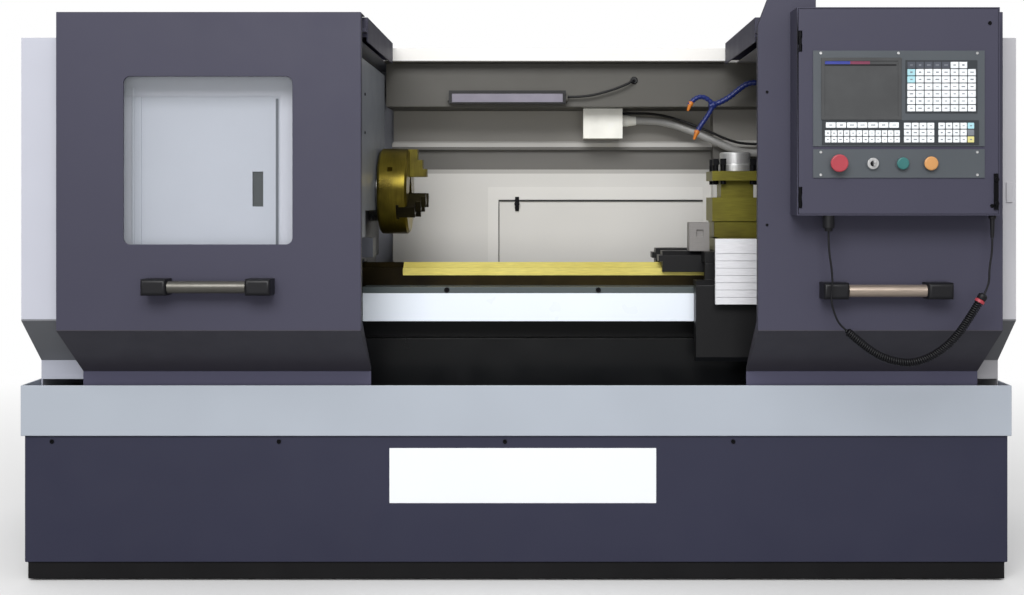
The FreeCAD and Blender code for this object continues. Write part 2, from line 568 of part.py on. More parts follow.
def chuck_body():
    """The round chuck body, bored through, with three slots and three key holes."""
    drum = turned([
        ("chuck_back", "chuck_bore"), ("chuck_face", "chuck_bore"),
        ("chuck_face", "chuck_radius - chuck_edge"),
        ("chuck_face - chuck_edge", "chuck_radius"), ("chuck_back + chuck_edge", "chuck_radius"),
        ("chuck_back", "chuck_radius - chuck_edge")], ("0", "0", "axis_high"))
    tools = []
    for angle in jaw_angles().values():
        half = "(jaw_wide / 2 + jaw_fit)"
        slot = along_x("chuck_face - jaw_slot_deep", "chuck_face", [
            (f"-{half}", "chuck_bore - chuck_edge"), (half, "chuck_bore - chuck_edge"),
            (half, "chuck_radius * 2"), (f"-{half}", "chuck_radius * 2")])
        tee = along_x("chuck_face - jaw_slot_deep", "chuck_face - jaw_slot_deep + tee_high + 2 * jaw_fit", [
            (f"-{half} - tee_wide", "chuck_bore - chuck_edge"),
            (f"{half} + tee_wide", "chuck_bore - chuck_edge"),
            (f"{half} + tee_wide", "chuck_radius * 2"), (f"-{half} - tee_wide", "chuck_radius * 2")])
        tools += [chuck_turn(slot, angle), chuck_turn(tee, angle)]
        middle = "(chuck_back + chuck_face) / 2 - chuck_edge"
        key = along_x(f"{middle} - key_square / 2", f"{middle} + key_square / 2", [
            ("-key_square / 2", "chuck_radius - key_deep"), ("key_square / 2", "chuck_radius - key_deep"),
            ("key_square / 2", "chuck_radius * 2"), ("-key_square / 2", "chuck_radius * 2")])
        tools.append(chuck_turn(key, angle + 60))
    return name("chuck_body", cut(drum, *tools))


def chuck_jaw(label, angle):
    """One jaw: a tee foot in its slot and three rising steps towards the work."""
    face = "chuck_face"
    foot = f"{face} - jaw_slot_deep + jaw_fit"
    blank = prism("XZ_Plane", "-jaw_wide / 2", [
        (foot, "jaw_inner"), (f"{face} + jaw_rise_one", "jaw_inner"),
        (f"{face} + jaw_rise_one", "jaw_step_one"), (f"{face} + jaw_rise_two", "jaw_step_one"),
        (f"{face} + jaw_rise_two", "jaw_step_two"), (f"{face} + jaw_rise_three", "jaw_step_two"),
        (f"{face} + jaw_rise_three", "jaw_outer"), (foot, "jaw_outer")], "jaw_wide")
    tee = along_x(foot, f"{foot} + tee_high", [
        ("-jaw_wide / 2 - tee_wide + jaw_fit", "jaw_inner"),
        ("jaw_wide / 2 + tee_wide - jaw_fit", "jaw_inner"),
        ("jaw_wide / 2 + tee_wide - jaw_fit", "jaw_outer"), ("-jaw_wide / 2 - tee_wide + jaw_fit",
                                                             "jaw_outer")])
    return name(label, chuck_turn(join(blank, tee), angle))


# --- feed drives, saddle, cross slide and turret -------------------------------------------

def z_screw():
    """The long feed screw with its two journals."""
    return name("z_screw", turned([
        ("screw_left - bearing_block", "0"), ("screw_right + bearing_block", "0"),
        ("screw_right + bearing_block", "screw_radius - journal_step"),
        ("screw_right - 2 * bearing_block", "screw_radius - journal_step"),
        ("screw_right - 2 * bearing_block", "screw_radius"),
        ("screw_left + bearing_block / 2", "screw_radius"),
        ("screw_left + bearing_block / 2", "screw_radius - journal_step"),
        ("screw_left - bearing_block", "screw_radius - journal_step")],
        ("0", "screw_front", "screw_high")))


def z_motor():
    """The long screw's servo motor with both bearing blocks, seated on the bed front."""
    half = "z_motor_half"
    bore = rod("x", ("screw_left - 2 * bearing_block", "screw_front", "screw_high"),
               "screw_radius - journal_step + screw_gap", "screw_right - screw_left + 3 * bearing_block")
    blocks = []
    for start in ("screw_left - bearing_block / 2", "screw_right - bearing_block * 3 / 2"):
        block = slab((start, f"{start} + bearing_block"),
                     ("screw_front - bearing_block / 2 - 8", "-bed_half"),
                     ("screw_high - bearing_block", "screw_high + nut_radius"))
        blocks.append(block)
    mount = slab(("bed_right", "bed_right + cover_sheet * 4"), ("screw_front - z_motor_half", "bed_half"),
                 ("screw_high - z_motor_half", "screw_high + z_motor_half"))
    can = slab(("bed_right + cover_sheet * 4", "bed_right + z_motor_long"),
               (f"screw_front - {half}", f"screw_front + {half}"),
               (f"screw_high - {half}", f"screw_high + {half}"))
    return name("z_motor", group(cut(join(mount, can), bore), *[cut(block, bore) for block in blocks]))


def saddle():
    """The saddle: two way wings joined by the bridge, with wipers and the cross motor."""
    vee = "(bed_half + rail_overhang - rail_wide / 2)"
    wings = along_x("saddle_left", "saddle_right", [
        ("-wing_half", "way_top - wiper_thick"), ("-bed_half - rail_overhang - way_gap",
                                                  "way_top - wiper_thick"),
        ("-bed_half - rail_overhang - way_gap", "way_top + way_gap"),
        (f"-{vee} - vee_half", "way_top + way_gap"), (f"-{vee}", "way_top + vee_half + 2 * way_gap"),
        (f"vee_half - {vee}", "way_top + way_gap"), ("bed_half + rail_overhang + way_gap",
                                                     "way_top + way_gap"),
        ("bed_half + rail_overhang + way_gap", "way_top - wiper_thick"),
        ("wing_half", "way_top - wiper_thick"),
        ("wing_half", "saddle_top - gib_high"), ("wing_half - gib_high", "saddle_top"),
        ("gib_high - wing_half", "saddle_top"), ("-wing_half", "saddle_top - gib_high")])
    hollow = slab(("saddle_left", "bridge_left"), ("rail_wide - wing_half + gib_high",
                                                   "wing_half - rail_wide - gib_high"),
                  ("way_top", "saddle_top"))
    bridge = slab(("bridge_left", "bridge_right"), ("saddle_front", "saddle_back"),
                  ("way_top + vee_half + gib_high / 4", "saddle_top"))
    guide = slab(("turret_x - gib_wide / 2", "turret_x + gib_wide / 2"), ("saddle_front", "saddle_back"),
                 ("saddle_top", "saddle_top + gib_high"))
    screw_room = slab(("turret_x - gib_wide / 4", "turret_x + gib_wide / 4"),
                      ("saddle_front + bearing_block", "saddle_back - bearing_block"),
                      ("x_screw_high - 2 * x_screw_radius", "saddle_top + gib_high"))
    motor = slab(("turret_x - x_motor_half", "turret_x + x_motor_half"),
                 ("saddle_back", "saddle_back + x_motor_long"),
                 ("saddle_top - x_motor_half", "saddle_top + x_motor_half"))
    screw_bore = rod("y", ("turret_x", "saddle_front", "x_screw_high"),
                     "x_screw_radius - x_journal_step + screw_gap",
                     "saddle_back - saddle_front + bearing_block")
    wipers = []
    for start in ("saddle_left - wiper_thick", "saddle_right"):
        for low, high in (("-wing_half", "-wing_half + rail_wide + gib_high"),
                          ("wing_half - rail_wide - gib_high", "wing_half")):
            wipers.append(slab((start, f"{start} + wiper_thick"), (low, high),
                               ("way_top + vee_half + gib_high / 3", "saddle_top - gib_high")))
    body = cut(join(wings, bridge, guide, motor, *wipers), hollow, screw_room, screw_bore)
    return name("saddle", body)


def x_screw():
    """The cross feed screw under the cross slide."""
    return name("x_screw", turned([
        ("saddle_front + end_play", "0"), ("saddle_back + bearing_block / 2", "0"),
        ("saddle_back + bearing_block / 2", "x_screw_radius - x_journal_step"),
        ("saddle_back - bearing_block - end_play", "x_screw_radius - x_journal_step"),
        ("saddle_back - bearing_block - end_play", "x_screw_radius"),
        ("saddle_front + bearing_block + end_play", "x_screw_radius"),
        ("saddle_front + bearing_block + end_play", "x_screw_radius - x_journal_step"),
        ("saddle_front + end_play", "x_screw_radius - x_journal_step")],
        ("turret_x", "0", "x_screw_high"), "y"))


def apron():
    """The apron hung in front of the saddle, with the nut of the long screw behind it."""
    back = "(apron_front + apron_thick)"
    plate = along_x("apron_left", "apron_right", [
        ("apron_front", "apron_low + gib_high"), ("apron_front + gib_high", "apron_low"), (back, "apron_low"),
        (back, "apron_top"), ("apron_front + gib_high", "apron_top"),
        ("apron_front", "apron_top - gib_high")])
    hanger = slab(("apron_left", "apron_right"), (back, "saddle_front + 2 * gib_high"),
                  ("apron_top - gib_high", "apron_top"))
    post = slab(("bridge_left", "apron_right"), ("saddle_front", "saddle_front + 2 * gib_high - cover_sheet"),
                ("apron_top - gib_high", "way_top + vee_half + gib_high / 4"))
    arm = slab(("apron_left + nut_long", "apron_left + 2 * nut_long"), (back, "screw_front + nut_radius / 2"),
               ("cover_low - nut_radius - gib_high", "cover_low - gib_high"))
    lift = slab(("apron_left + nut_long", "apron_left + 2 * nut_long"),
                ("screw_front - nut_radius / 2", "screw_front + nut_radius / 2"),
                ("cover_low - gib_high", "screw_high"))
    nut = rod("x", ("apron_left + nut_long", "screw_front", "screw_high"), "nut_radius", "nut_long")
    bore = rod("x", ("apron_left + nut_long", "screw_front", "screw_high"), "screw_radius + screw_gap",
               "nut_long")
    return name("apron", cut(join(plate, hanger, post, arm, lift, nut), bore))


def limit_switch_box():
    """The small switch box on the saddle wing, with its square window."""
    case = slab(("switch_left", "switch_right"), ("switch_front", "switch_front + switch_deep"),
                ("saddle_top", "switch_top"))
    window = slab(("switch_left + lens_side", "switch_left + lens_side + lens_wide"),
                  ("switch_front", "switch_front + lens_deep"),
                  ("saddle_top + lens_rise", "saddle_top + lens_rise + lens_wide"))
    return name("limit_switch_box", cut(case, window))


def cross_slide():
    """The cross slide riding over the saddle's guide, with its screw nut below."""
    low = "(saddle_top + slide_gap)"
    plate = along_y("slide_front", "slide_back", [
        ("slide_left", low), ("slide_right", low), ("slide_right", "slide_top - gib_high / 2"),
        ("slide_right - gib_high / 2", "slide_top"), ("slide_left + gib_high / 2", "slide_top"),
        ("slide_left", "slide_top - gib_high / 2")])
    groove = slab(("turret_x - gib_wide / 2 - slide_gap", "turret_x + gib_wide / 2 + slide_gap"),
                  ("slide_front", "slide_back"), (low, f"{low} + gib_high + slide_gap"))
    nut = slab(("turret_x - gib_wide / 4 + gib_high / 2", "turret_x + gib_wide / 4 - gib_high / 2"),
               ("turret_y + gib_wide / 3", "turret_y + gib_wide / 3 + nut_long"),
               ("x_screw_high - x_screw_radius - gib_high / 2", f"{low} + gib_high + 2 * slide_gap"))
    bore = rod("y", ("turret_x", "turret_y + gib_wide / 3", "x_screw_high"), "x_screw_radius + screw_gap",
               "nut_long")
    return name("cross_slide", cut(join(cut(plate, groove), nut), bore))


def turret_base():
    """The square turret base bolted on the cross slide, with its pivot post."""
    half = "base_half"
    base = slab((f"turret_x - {half}", f"turret_x + {half}"), (f"turret_y - {half}", f"turret_y + {half}"),
                ("slide_top", "turret_base_top"))
    post = rod("z", ("turret_x", "turret_y", "turret_base_top"), "post_radius", "plate_top - turret_base_top")
    return name("turret_base", join(base, post))


def turret_head():
    """The four-way tool head: lower block, slotted waist, and top plate."""
    def square(half, low, high):
        return slab((f"turret_x - ({half})", f"turret_x + ({half})"),
                    (f"turret_y - ({half})", f"turret_y + ({half})"),
                    (low, high))
    block = square("turret_half", "turret_base_top + turret_gap", "block_top")
    waist = square("turret_half - slot_deep", "block_top", "slot_top")
    plate = square("turret_half", "slot_top", "plate_top")
    bore = rod("z", ("turret_x", "turret_y", "turret_base_top"), "post_radius + post_gap",
               "plate_top - turret_base_top")
    return name("turret_head", cut(join(block, waist, plate), bore, *bolt_holes()))


def bolt_spots():
    """The clamp bolts: two along each side of the top plate, over the tool slot."""
    spots = []
    for turn in range(4):
        for along in (-1, 1):
            off = "(turret_half - bolt_inset)"
            pair = [(f"({along} * bolt_along)", f"(-{off})"), (off, f"({along} * bolt_along)"),
                    (f"({along} * bolt_along)", off), (f"(-{off})", f"({along} * bolt_along)")][turn]
            spots.append((f"turret_x + {pair[0]}", f"turret_y + {pair[1]}"))
    return spots


def bolt_holes():
    """The bored holes of the clamp bolts through the top plate."""
    return [rod("z", (x, y, "slot_top"), "bolt_radius", "plate_top - slot_top") for x, y in bolt_spots()]


def clamp_bolts():
    """Eight square-headed clamp bolts that reach into the tool slots."""
    bolts = []
    for x, y in bolt_spots():
        shank = rod("z", (x, y, "slot_top - bolt_drop"), "bolt_radius",
                    "plate_top - slot_top + bolt_drop + bolt_rise / 2")
        head = slab((f"{x} - bolt_head / 2", f"{x} + bolt_head / 2"),
                    (f"{y} - bolt_head / 2", f"{y} + bolt_head / 2"),
                    ("plate_top + bolt_rise / 2", "plate_top + bolt_rise"))
        bolts.append(join(shank, head))
    return name("clamp_bolts", group(*bolts))


def turret_cap():
    """The round cover over the turret's drive, in two turned steps."""
    rise = "(cap_top - plate_top)"
    return name("turret_cap", turned([
        ("0", "0"), (rise, "0"), (rise, "cap_radius - cap_step / 2"),
        (f"{rise} - 3", "cap_radius - cap_step / 3"),
        ("cap_step", "cap_radius - cap_step / 3"), ("cap_step - 2", "cap_radius"), ("0", "cap_radius")],
        ("turret_x", "turret_y", "plate_top"), "z"))


def slat_cover():
    """The slatted cover at the front of the cross slide, each slat stepped below the last."""
    front = "slats_front"
    points = [(front, "slats_top")]
    for step in range(1, 9):
        low = f"slats_top - slat_pitch * {step + 1}"
        points += [(front, low), (f"{front} + slat_step", low)]
        if step < 8:
            points += [(f"{front} + slat_step", f"{low} - 1"), (front, f"{low} - 1")]
    points += [(f"{front} + slat_step + slat_sheet", "slats_top - slat_pitch * 9"),
               (f"{front} + slat_step + slat_sheet", f"slats_top - slat_sheet"),
               ("slide_front", "slats_top - slat_sheet"),
               ("slide_front", "slats_top")]
    curtain = along_x("slats_left", "slats_right", points)
    ends = [slab((start, f"{start} + slat_sheet"), (front, f"{front} + slat_return"),
                 ("slats_top - slat_pitch * 9", "slats_top")) for start in ("slats_left",
                 "slats_right - slat_sheet")]
    return name("slat_cover", join(curtain, *ends))


# --- tailstock -----------------------------------------------------------------------------

def tailstock():
    """The tailstock casting on the bed, bored for its quill."""
    foot = along_x("tail_left", "tail_right", [
        ("-bed_half - rail_overhang", "way_top + vee_half + gib_high / 4"),
        ("-bed_half", "way_top + vee_half + gib_high / 4"), ("web_thick - bed_half",
                                                             "way_top + vee_half + gib_high / 4"),
        ("rail_wide / 2 - bed_half + rail_overhang + gib_high / 4", "way_top + vee_half + gib_high / 4"),
        ("rail_wide / 2 - bed_half + rail_overhang + gib_high / 4", "way_top + way_gap"),
        ("bed_half + rail_overhang", "way_top + way_gap"), ("bed_half + rail_overhang", "tail_foot_top"),
        ("tail_half", "tail_foot_top + gib_high"), ("tail_half - gib_high", "axis_high"),
        ("gib_high - tail_half", "axis_high"), ("-tail_half", "tail_foot_top + gib_high"),
        ("-bed_half - rail_overhang", "tail_foot_top")])
    barrel = rod("x", ("tail_left", "0", "axis_high"), "barrel_radius", "tail_right - tail_left")
    cap = rod("x", ("tail_right", "0", "axis_high"), "quill_radius", "gib_high")
    bore = rod("x", ("tail_left", "0", "axis_high"), "quill_radius + running_gap",
               "tail_right - tail_left - gib_high")
    screw_bore = rod("x", ("tail_left", "0", "axis_high"), "tail_screw_radius + running_gap",
                     "tail_right - tail_left + gib_high")
    return name("tailstock", cut(join(foot, barrel, cap), bore, screw_bore))


def tailstock_quill():
    """The quill with its sixty-degree centre, hollow behind for the screw."""
    return name("tailstock_quill", turned([
        ("quill_left - centre_long", "0"), ("quill_left - centre_long + centre_radius * 1.732",
                                            "centre_radius"),
        ("quill_left", "centre_radius"), ("quill_left", "quill_radius"), ("quill_right", "quill_radius"),
        ("quill_right", "tail_screw_radius + running_gap"), ("quill_left + centre_long",
                                                             "tail_screw_radius + running_gap"),
        ("quill_left + centre_long", "0")], ("0", "0", "axis_high")))


def tailstock_handwheel():
    """The tailstock screw with its rimmed handwheel and crank knob."""
    wheel = turned([
        ("quill_left + centre_long + gib_high", "0"), ("tail_wheel_x + 3 * gib_high", "0"),
        ("tail_wheel_x + 3 * gib_high", "tail_screw_radius * 2"),
        ("tail_wheel_x + gib_high", "tail_screw_radius * 2"),
        ("tail_wheel_x + gib_high", "tail_wheel_radius - tail_rim"),
        ("tail_wheel_x + 2 * gib_high", "tail_wheel_radius - tail_rim"),
        ("tail_wheel_x + 2 * gib_high", "tail_wheel_radius"), ("tail_wheel_x", "tail_wheel_radius"),
        ("tail_wheel_x", "tail_wheel_radius - tail_rim"), ("tail_wheel_x + gib_high / 2",
                                                           "tail_wheel_radius - tail_rim"),
        ("tail_wheel_x + gib_high / 2", "tail_screw_radius * 2"),
        ("tail_right + gib_high + belt_gap", "tail_screw_radius * 2"),
        ("tail_right + gib_high + belt_gap", "tail_screw_radius"),
        ("quill_left + centre_long + gib_high", "tail_screw_radius")], ("0", "0", "axis_high"))
    knob = rod("x", ("tail_wheel_x + gib_high", "0", "axis_high + tail_wheel_radius - 2 * tail_rim"),
               "tail_screw_radius", "5 * gib_high")
    holes = []
    reach = "(tail_wheel_radius / 2 + tail_rim / 2)"
    for angle in (math.radians(30), math.radians(150)):
        holes.append(rod("x", ("tail_wheel_x", f"{reach} * {math.cos(angle):.4f}",
                               f"axis_high + {reach} * {-math.sin(angle):.4f}"),
                         "2 * tail_rim", "3 * gib_high"))
    return name("tailstock_handwheel", cut(join(wheel, knob), *holes))


# --- guards, hoods and the rear enclosure -----------------------------------------------------

def guard_section(back):
    """The bent section of a fixed guard: upright, slant, lower strip, and roof to the back."""
    wall = "guard_sheet"
    return [("guard_front", "guard_top"), ("guard_front", "guard_skirt"), ("guard_strip", "guard_slant_low"),
            ("guard_strip", "guard_low"), (f"guard_strip + {wall}", "guard_low"),
            (f"guard_strip + {wall}", f"guard_slant_low + {wall}"),
            (f"guard_front + {wall}", f"guard_skirt + {wall}"),
            (f"guard_front + {wall}", f"guard_top - {wall}"), (back, f"guard_top - {wall}"),
            (back, "guard_top")]


def guard_end(start):
    """The upright end wall that closes a guard against the tray."""
    wall = along_x(start, f"{start} + guard_sheet", [
        ("guard_front", "guard_top"), ("guard_front", "guard_skirt"), ("guard_strip", "guard_slant_low"),
        ("guard_strip", "cabinet_top + tray_floor"), ("guard_back", "cabinet_top + tray_floor"),
        ("guard_back", "guard_top")])
    return wall


def left_guard():
    """The fixed guard over the headstock, with the frame of its service door."""
    skin = along_x("guard_left", "left_inner", guard_section("guard_back"))
    inner = slab(("left_inner - guard_sheet", "left_inner"), ("guard_front", "panel_front"),
                 ("guard_skirt", "guard_top"))
    back = slab(("guard_left", "left_inner"), ("guard_back - guard_sheet", "guard_back"),
                ("cabinet_top + tray_floor", "guard_top"))
    doorway = slab(("service_left - service_gap", "service_right + service_gap"),
                   ("guard_front", "guard_front + guard_sheet"),
                   ("service_low - service_gap", "service_top + service_gap"))
    stop = slab(("service_left - service_gap - stop_wide", "service_right + service_gap + stop_wide"),
                ("guard_front + guard_sheet", "guard_front + 2 * guard_sheet"),
                ("service_low - service_gap - stop_wide", "service_top + service_gap + stop_wide"))
    stop_room = slab(("service_left + stop_wide", "service_right - stop_wide"),
                     ("guard_front", "guard_front + 3 * guard_sheet"),
                     ("service_low + stop_wide", "service_top - stop_wide"))
    hinges = []
    for low in ("service_low - service_gap - hinge_lug", "service_top + service_gap"):
        hinges.append(rod("z", ("service_left", "guard_front - service_pin", low), "service_pin",
                          "hinge_lug"))
        hinges.append(slab(("service_left - hinge_lug", "service_left"),
                           ("guard_front - service_pin", "guard_front"), (low, f"{low} + hinge_lug")))
    pin = rod("z", ("service_left", "guard_front - service_pin", "service_low - service_gap"),
              "service_pin / 2", "service_top - service_low + 2 * service_gap")
    return name("left_guard", join(cut(skin, doorway), guard_end("guard_left"), inner, back,
                                   cut(stop, stop_room), *hinges, pin))


def service_door():
    """The hinged service door in the left guard, with its recessed pull."""
    leaf = slab(("service_left", "service_right"), ("guard_front", "guard_front + guard_sheet - belt_gap"),
                ("service_low", "service_top"))
    recess = slab(("pull_left", "pull_right"), ("guard_front", "guard_front + pull_deep"),
                  ("pull_low", "pull_top"))
    cup = slab(("pull_left + recess_wall", "pull_right - recess_wall"),
               ("guard_front", "guard_front + pull_deep - recess_wall"),
               ("pull_low + recess_wall", "pull_top - recess_wall"))
    barrel = rod("z", ("service_left", "guard_front - service_pin", "service_low"), "service_pin",
                 "service_top - service_low")
    hinge_leaf = slab(("service_left", "service_left + hinge_lug"),
                      ("guard_front - service_pin", "guard_front"), ("service_low", "service_top"))
    bore = rod("z", ("service_left", "guard_front - service_pin", "service_low"),
               "service_pin / 2 + service_fit", "service_top - service_low")
    return name("service_door", cut(join(leaf, recess, barrel, hinge_leaf), cup, bore))


def right_guard():
    """The fixed guard at the tailstock end."""
    skin = along_x("right_inner", "guard_right", guard_section("rear_front"))
    catch = slab(("guard_right - catch_inset - catch_wide", "guard_right - catch_inset"),
                 ("guard_front - catch_rise", "guard_front"), ("catch_low", "catch_top"))
    return name("right_guard", join(skin, guard_end("guard_right - guard_sheet"), catch))


def hood(left, right, edge):
    """A roof hood with a dropped inner edge and the rail that a door hangs on."""
    roof = slab((left, right), ("hood_front", "hood_back"), ("hood_top - guard_sheet", "hood_top"))
    front = slab((left, right), ("hood_front", "hood_front + guard_sheet"),
                 ("guard_top", "hood_top"))
    drop = slab((edge, f"{edge} + guard_sheet"), ("hood_front", "hood_back"),
                ("hood_top - hood_drop", "hood_top"))
    back = slab((left, right), ("hood_back - guard_sheet", "hood_back"),
                ("guard_top", "hood_top"))
    rail = slab((left, right), ("hanger_rail_front", "hanger_rail_front + hanger_rail_deep"),
                ("hanger_rail_low", "hanger_rail_low + hanger_rail_high"))
    web = slab((left, right), ("hanger_rail_front + hanger_rail_deep", "hood_front"),
               ("hanger_rail_low", "hanger_rail_low + guard_sheet"))
    return join(roof, front, drop, back, rail, web)


def side_hoods():
    """The two roof hoods over the headstock end and the tailstock end."""
    left = hood("left_hood_left", "left_hood_right", "left_hood_right - guard_sheet")
    right = hood("right_hood_left", "right_hood_right", "right_hood_left")
    return name("side_hoods", group(left, right))


def spindle_guard():
    """The upright panel behind the chuck, notched round the spindle nose, with its bracket."""
    panel = slab(("left_inner", "left_inner + guard_sheet"), ("panel_front - gib_high", "panel_back"),
                 ("panel_low", "panel_top"))
    notch = rod("x", ("left_inner", "0", "axis_high"), "panel_notch", "guard_sheet")
    bracket = slab(("left_inner", "left_inner + guard_sheet"), ("panel_front", "panel_front + bracket_deep"),
                   ("bracket_low", "panel_low"))
    foot = slab(("left_inner", "left_inner + bracket_deep / 2"),
                ("panel_front", "panel_front + bracket_deep"),
                ("bracket_low", "bracket_low + bracket_high"))
    return name("spindle_guard", join(cut(panel, notch), bracket, foot))


def rear_wall():
    """The white rear enclosure: roof beam, lamp panel, recess, ledge, lower wall and pillar."""
    skin = along_x("rear_left", "guard_right - guard_sheet", [
        ("rear_front", "hood_panel_low"), ("rear_front", "roof_beam_top"), ("outer_front", "roof_beam_top"),
        ("outer_front", "rear_low"), ("rear_lower", "rear_low"), ("rear_lower", "ledge_low"),
        ("ledge_front", "ledge_low"), ("ledge_front", "ledge_top"), ("rear_recess", "ledge_top"),
        ("rear_recess", "hood_panel_low")])
    beam = slab(("rear_left", "right_hood_left"), ("hood_back", "rear_front"),
                ("roof_beam_low", "roof_beam_top"))
    pillar = slab(("pillar_left", "guard_right - guard_sheet"), ("pillar_front", "rear_recess"),
                  ("rear_low", "hood_panel_low"))
    clamp = slab(("clamp_left", "clamp_left + clamp_wide"), ("clamp_front", "pillar_front"),
                 ("clamp_low", "clamp_top"))
    doorway = slab(("access_left", "access_right"), ("rear_lower", "rear_lower + access_thick"),
                   ("access_low", "access_top"))
    cabinet = slab(("outer_left", "outer_right"), ("outer_front", "outer_back"), ("outer_low", "guard_top"))
    ears = []
    for start in ("lamp_left - lamp_ear - belt_gap", "lamp_right + belt_gap"):
        ears.append(slab((start, f"{start} + lamp_ear"), ("lamp_y - lamp_ear", "rear_front"),
                         ("lamp_z - 2 * lamp_ear", "lamp_z + 2 * lamp_ear")))
    pins = [rod("x", (start, "lamp_y", "lamp_z"), "lamp_pin", "lamp_ear + belt_gap + lamp_wall")
            for start in ("lamp_left - lamp_ear - belt_gap", "lamp_right - lamp_wall")]
    feet = slab(("rear_left", "guard_right - guard_sheet"), ("rear_lower", "rear_lower + 4 * rear_sheet"),
                ("cabinet_top + tray_floor", "rear_low"))
    return name("rear_wall", join(cut(join(skin, pillar, cabinet), doorway), beam, clamp, feet, *ears, *pins))


def access_panel():
    """The lift-off panel in the lower rear wall."""
    leaf = slab(("access_left + belt_gap", "access_right - belt_gap"),
                ("rear_lower - belt_gap", "rear_lower + access_thick"),
                ("access_low", "access_top - belt_gap"))
    hole = rod("y", ("latch_x", "rear_lower - 4", "access_top - latch_wide"), "latch_pin + latch_fit",
               "8 + access_thick")
    return name("access_panel", cut(leaf, hole))


def access_latch():
    """The turn latch that holds the access panel."""
    bar = slab(("latch_x - latch_wide / 2", "latch_x + latch_wide / 2"),
               ("rear_lower - 2 * belt_gap - latch_thick", "rear_lower - 2 * belt_gap"),
               ("access_top - latch_wide - latch_long / 2", "access_top - latch_wide + latch_long / 2"))
    pin = rod("y", ("latch_x", "rear_lower - belt_gap - latch_thick", "access_top - latch_wide"), "latch_pin",
              "latch_thick + access_thick")
    knob = rod("y", ("latch_x", "rear_lower - latch_thick * 3", "access_top - latch_wide"), "latch_pin * 2",
               "latch_thick * 2")
    return name("access_latch", join(bar, pin, knob))


# --- lamp, junction box and wiring -------------------------------------------------------------

def lamp_housing():
    """The long lamp body, open below for its lens, with a pin hole in each end."""
    low = "lamp_z - lamp_high / 2"
    case = slab(("lamp_left", "lamp_right"), ("lamp_y - lamp_deep / 2", "lamp_y + lamp_deep / 2"),
                (low, "lamp_z + lamp_high / 2"))
    room = slab(("lamp_left + lens_inset", "lamp_right - lens_inset"),
                ("lamp_y - lamp_deep / 2", "lamp_y + lamp_deep / 2 - lamp_wall"),
                (f"{low} + lamp_wall", "lamp_z + lamp_high / 2 - lens_inset"))
    bore = rod("x", ("lamp_left", "lamp_y", "lamp_z"), "lamp_pin + latch_fit", "lamp_right - lamp_left")
    return name("lamp_housing", cut(case, room, bore))


def lamp_diffuser():
    """The pale lens of the lamp, filling the front of its housing."""
    return name("lamp_diffuser", slab(
        ("lamp_left + lens_inset", "lamp_right - lens_inset"),
        ("lamp_y - lamp_deep / 2 + 1", "lamp_y - lamp_deep / 2 + lamp_wall * 2"),
        ("lamp_z - lamp_high / 2 + lamp_wall", "lamp_z + lamp_high / 2 - lens_inset")))


def junction_box():
    """The white junction box on the recess wall, with the conduit's ring nut."""
    case = slab(("box_left", "box_right"), ("box_front", "rear_recess"), ("box_low", "box_top"))
    lid = slab(("box_left - box_lip", "box_right + box_lip"), ("box_front - box_lid", "box_front"),
               ("box_low - box_lip", "box_top"))
    nut = rod("x", ("box_right", "conduit_y", "conduit_z"), "conduit_radius + nut_rise", "nut_thick")
    sleeve = cone("x", ("box_right + nut_thick", "conduit_y", "conduit_z"), "conduit_radius + nut_rise - 1",
                  "conduit_radius + 1.5", "sleeve_long")
    return name("junction_box", join(case, lid, nut, sleeve))


def bent_path(points):
    """Straight runs joined by tangent arcs, each as large as its two runs allow."""
    corners = [Vector(*point) for point in points]
    edges = []
    radii = []
    start = corners[0]
    for before, corner, after in zip(corners, corners[1:], corners[2:]):
        one = before - corner
        two = after - corner
        shorter = min(one.Length, two.Length)
        turn = math.pi - one.getAngle(two)
        radius = 0.45 * shorter / math.tan(turn / 2)
        radii.append(radius)
        reach = 0.45 * shorter
        one.normalize()
        two.normalize()
        into = corner + one * reach
        out = corner + two * reach
        middle = (one + two).normalize()
        mid = corner + middle * (math.hypot(radius, reach) - radius)
        edges += [Part.LineSegment(start, into).toShape(), Part.Arc(into, mid, out).toShape()]
        start = out
    edges.append(Part.LineSegment(start, corners[-1]).toShape())
    return Part.Wire(edges), radii


def swept(path, radius, sides):
    """A faceted tube along a path, with the volume that its section and length should give."""
    start = path.Edges[0]
    centre = start.valueAt(start.FirstParameter)
    way = start.tangentAt(start.FirstParameter)
    side = way.cross(Vector(0, 1, 0) if abs(way.y) < 0.9 else Vector(1, 0, 0)).normalize()
    over = way.cross(side)
    ring = [centre + side * radius * math.cos(math.tau * i / sides)
            + over * radius * math.sin(math.tau * i / sides)
            for i in range(sides)]
    tube = path.makePipeShell([Part.makePolygon(ring + ring[:1])], True, False)
    return tube, sides / 2 * radius ** 2 * math.sin(math.tau / sides) * path.Length


def bent_tube(points, radius, title):
    """A tube along a bent path, with its length and radii printed."""
    path, radii = bent_path(points)
    tube, expected = swept(path, radius, 8)
    print(f"{title}: length {path.Length:.1f} mm, volume ratio {tube.Volume / expected:.4f},",
          "radii", [round(value, 1) for value in radii])
    return tube


def shaped(shape):
    """A document item whose shape is worked out here."""
    item = doc.addObject("Part::Feature", "shaped")
    item.Shape = shape
    return item


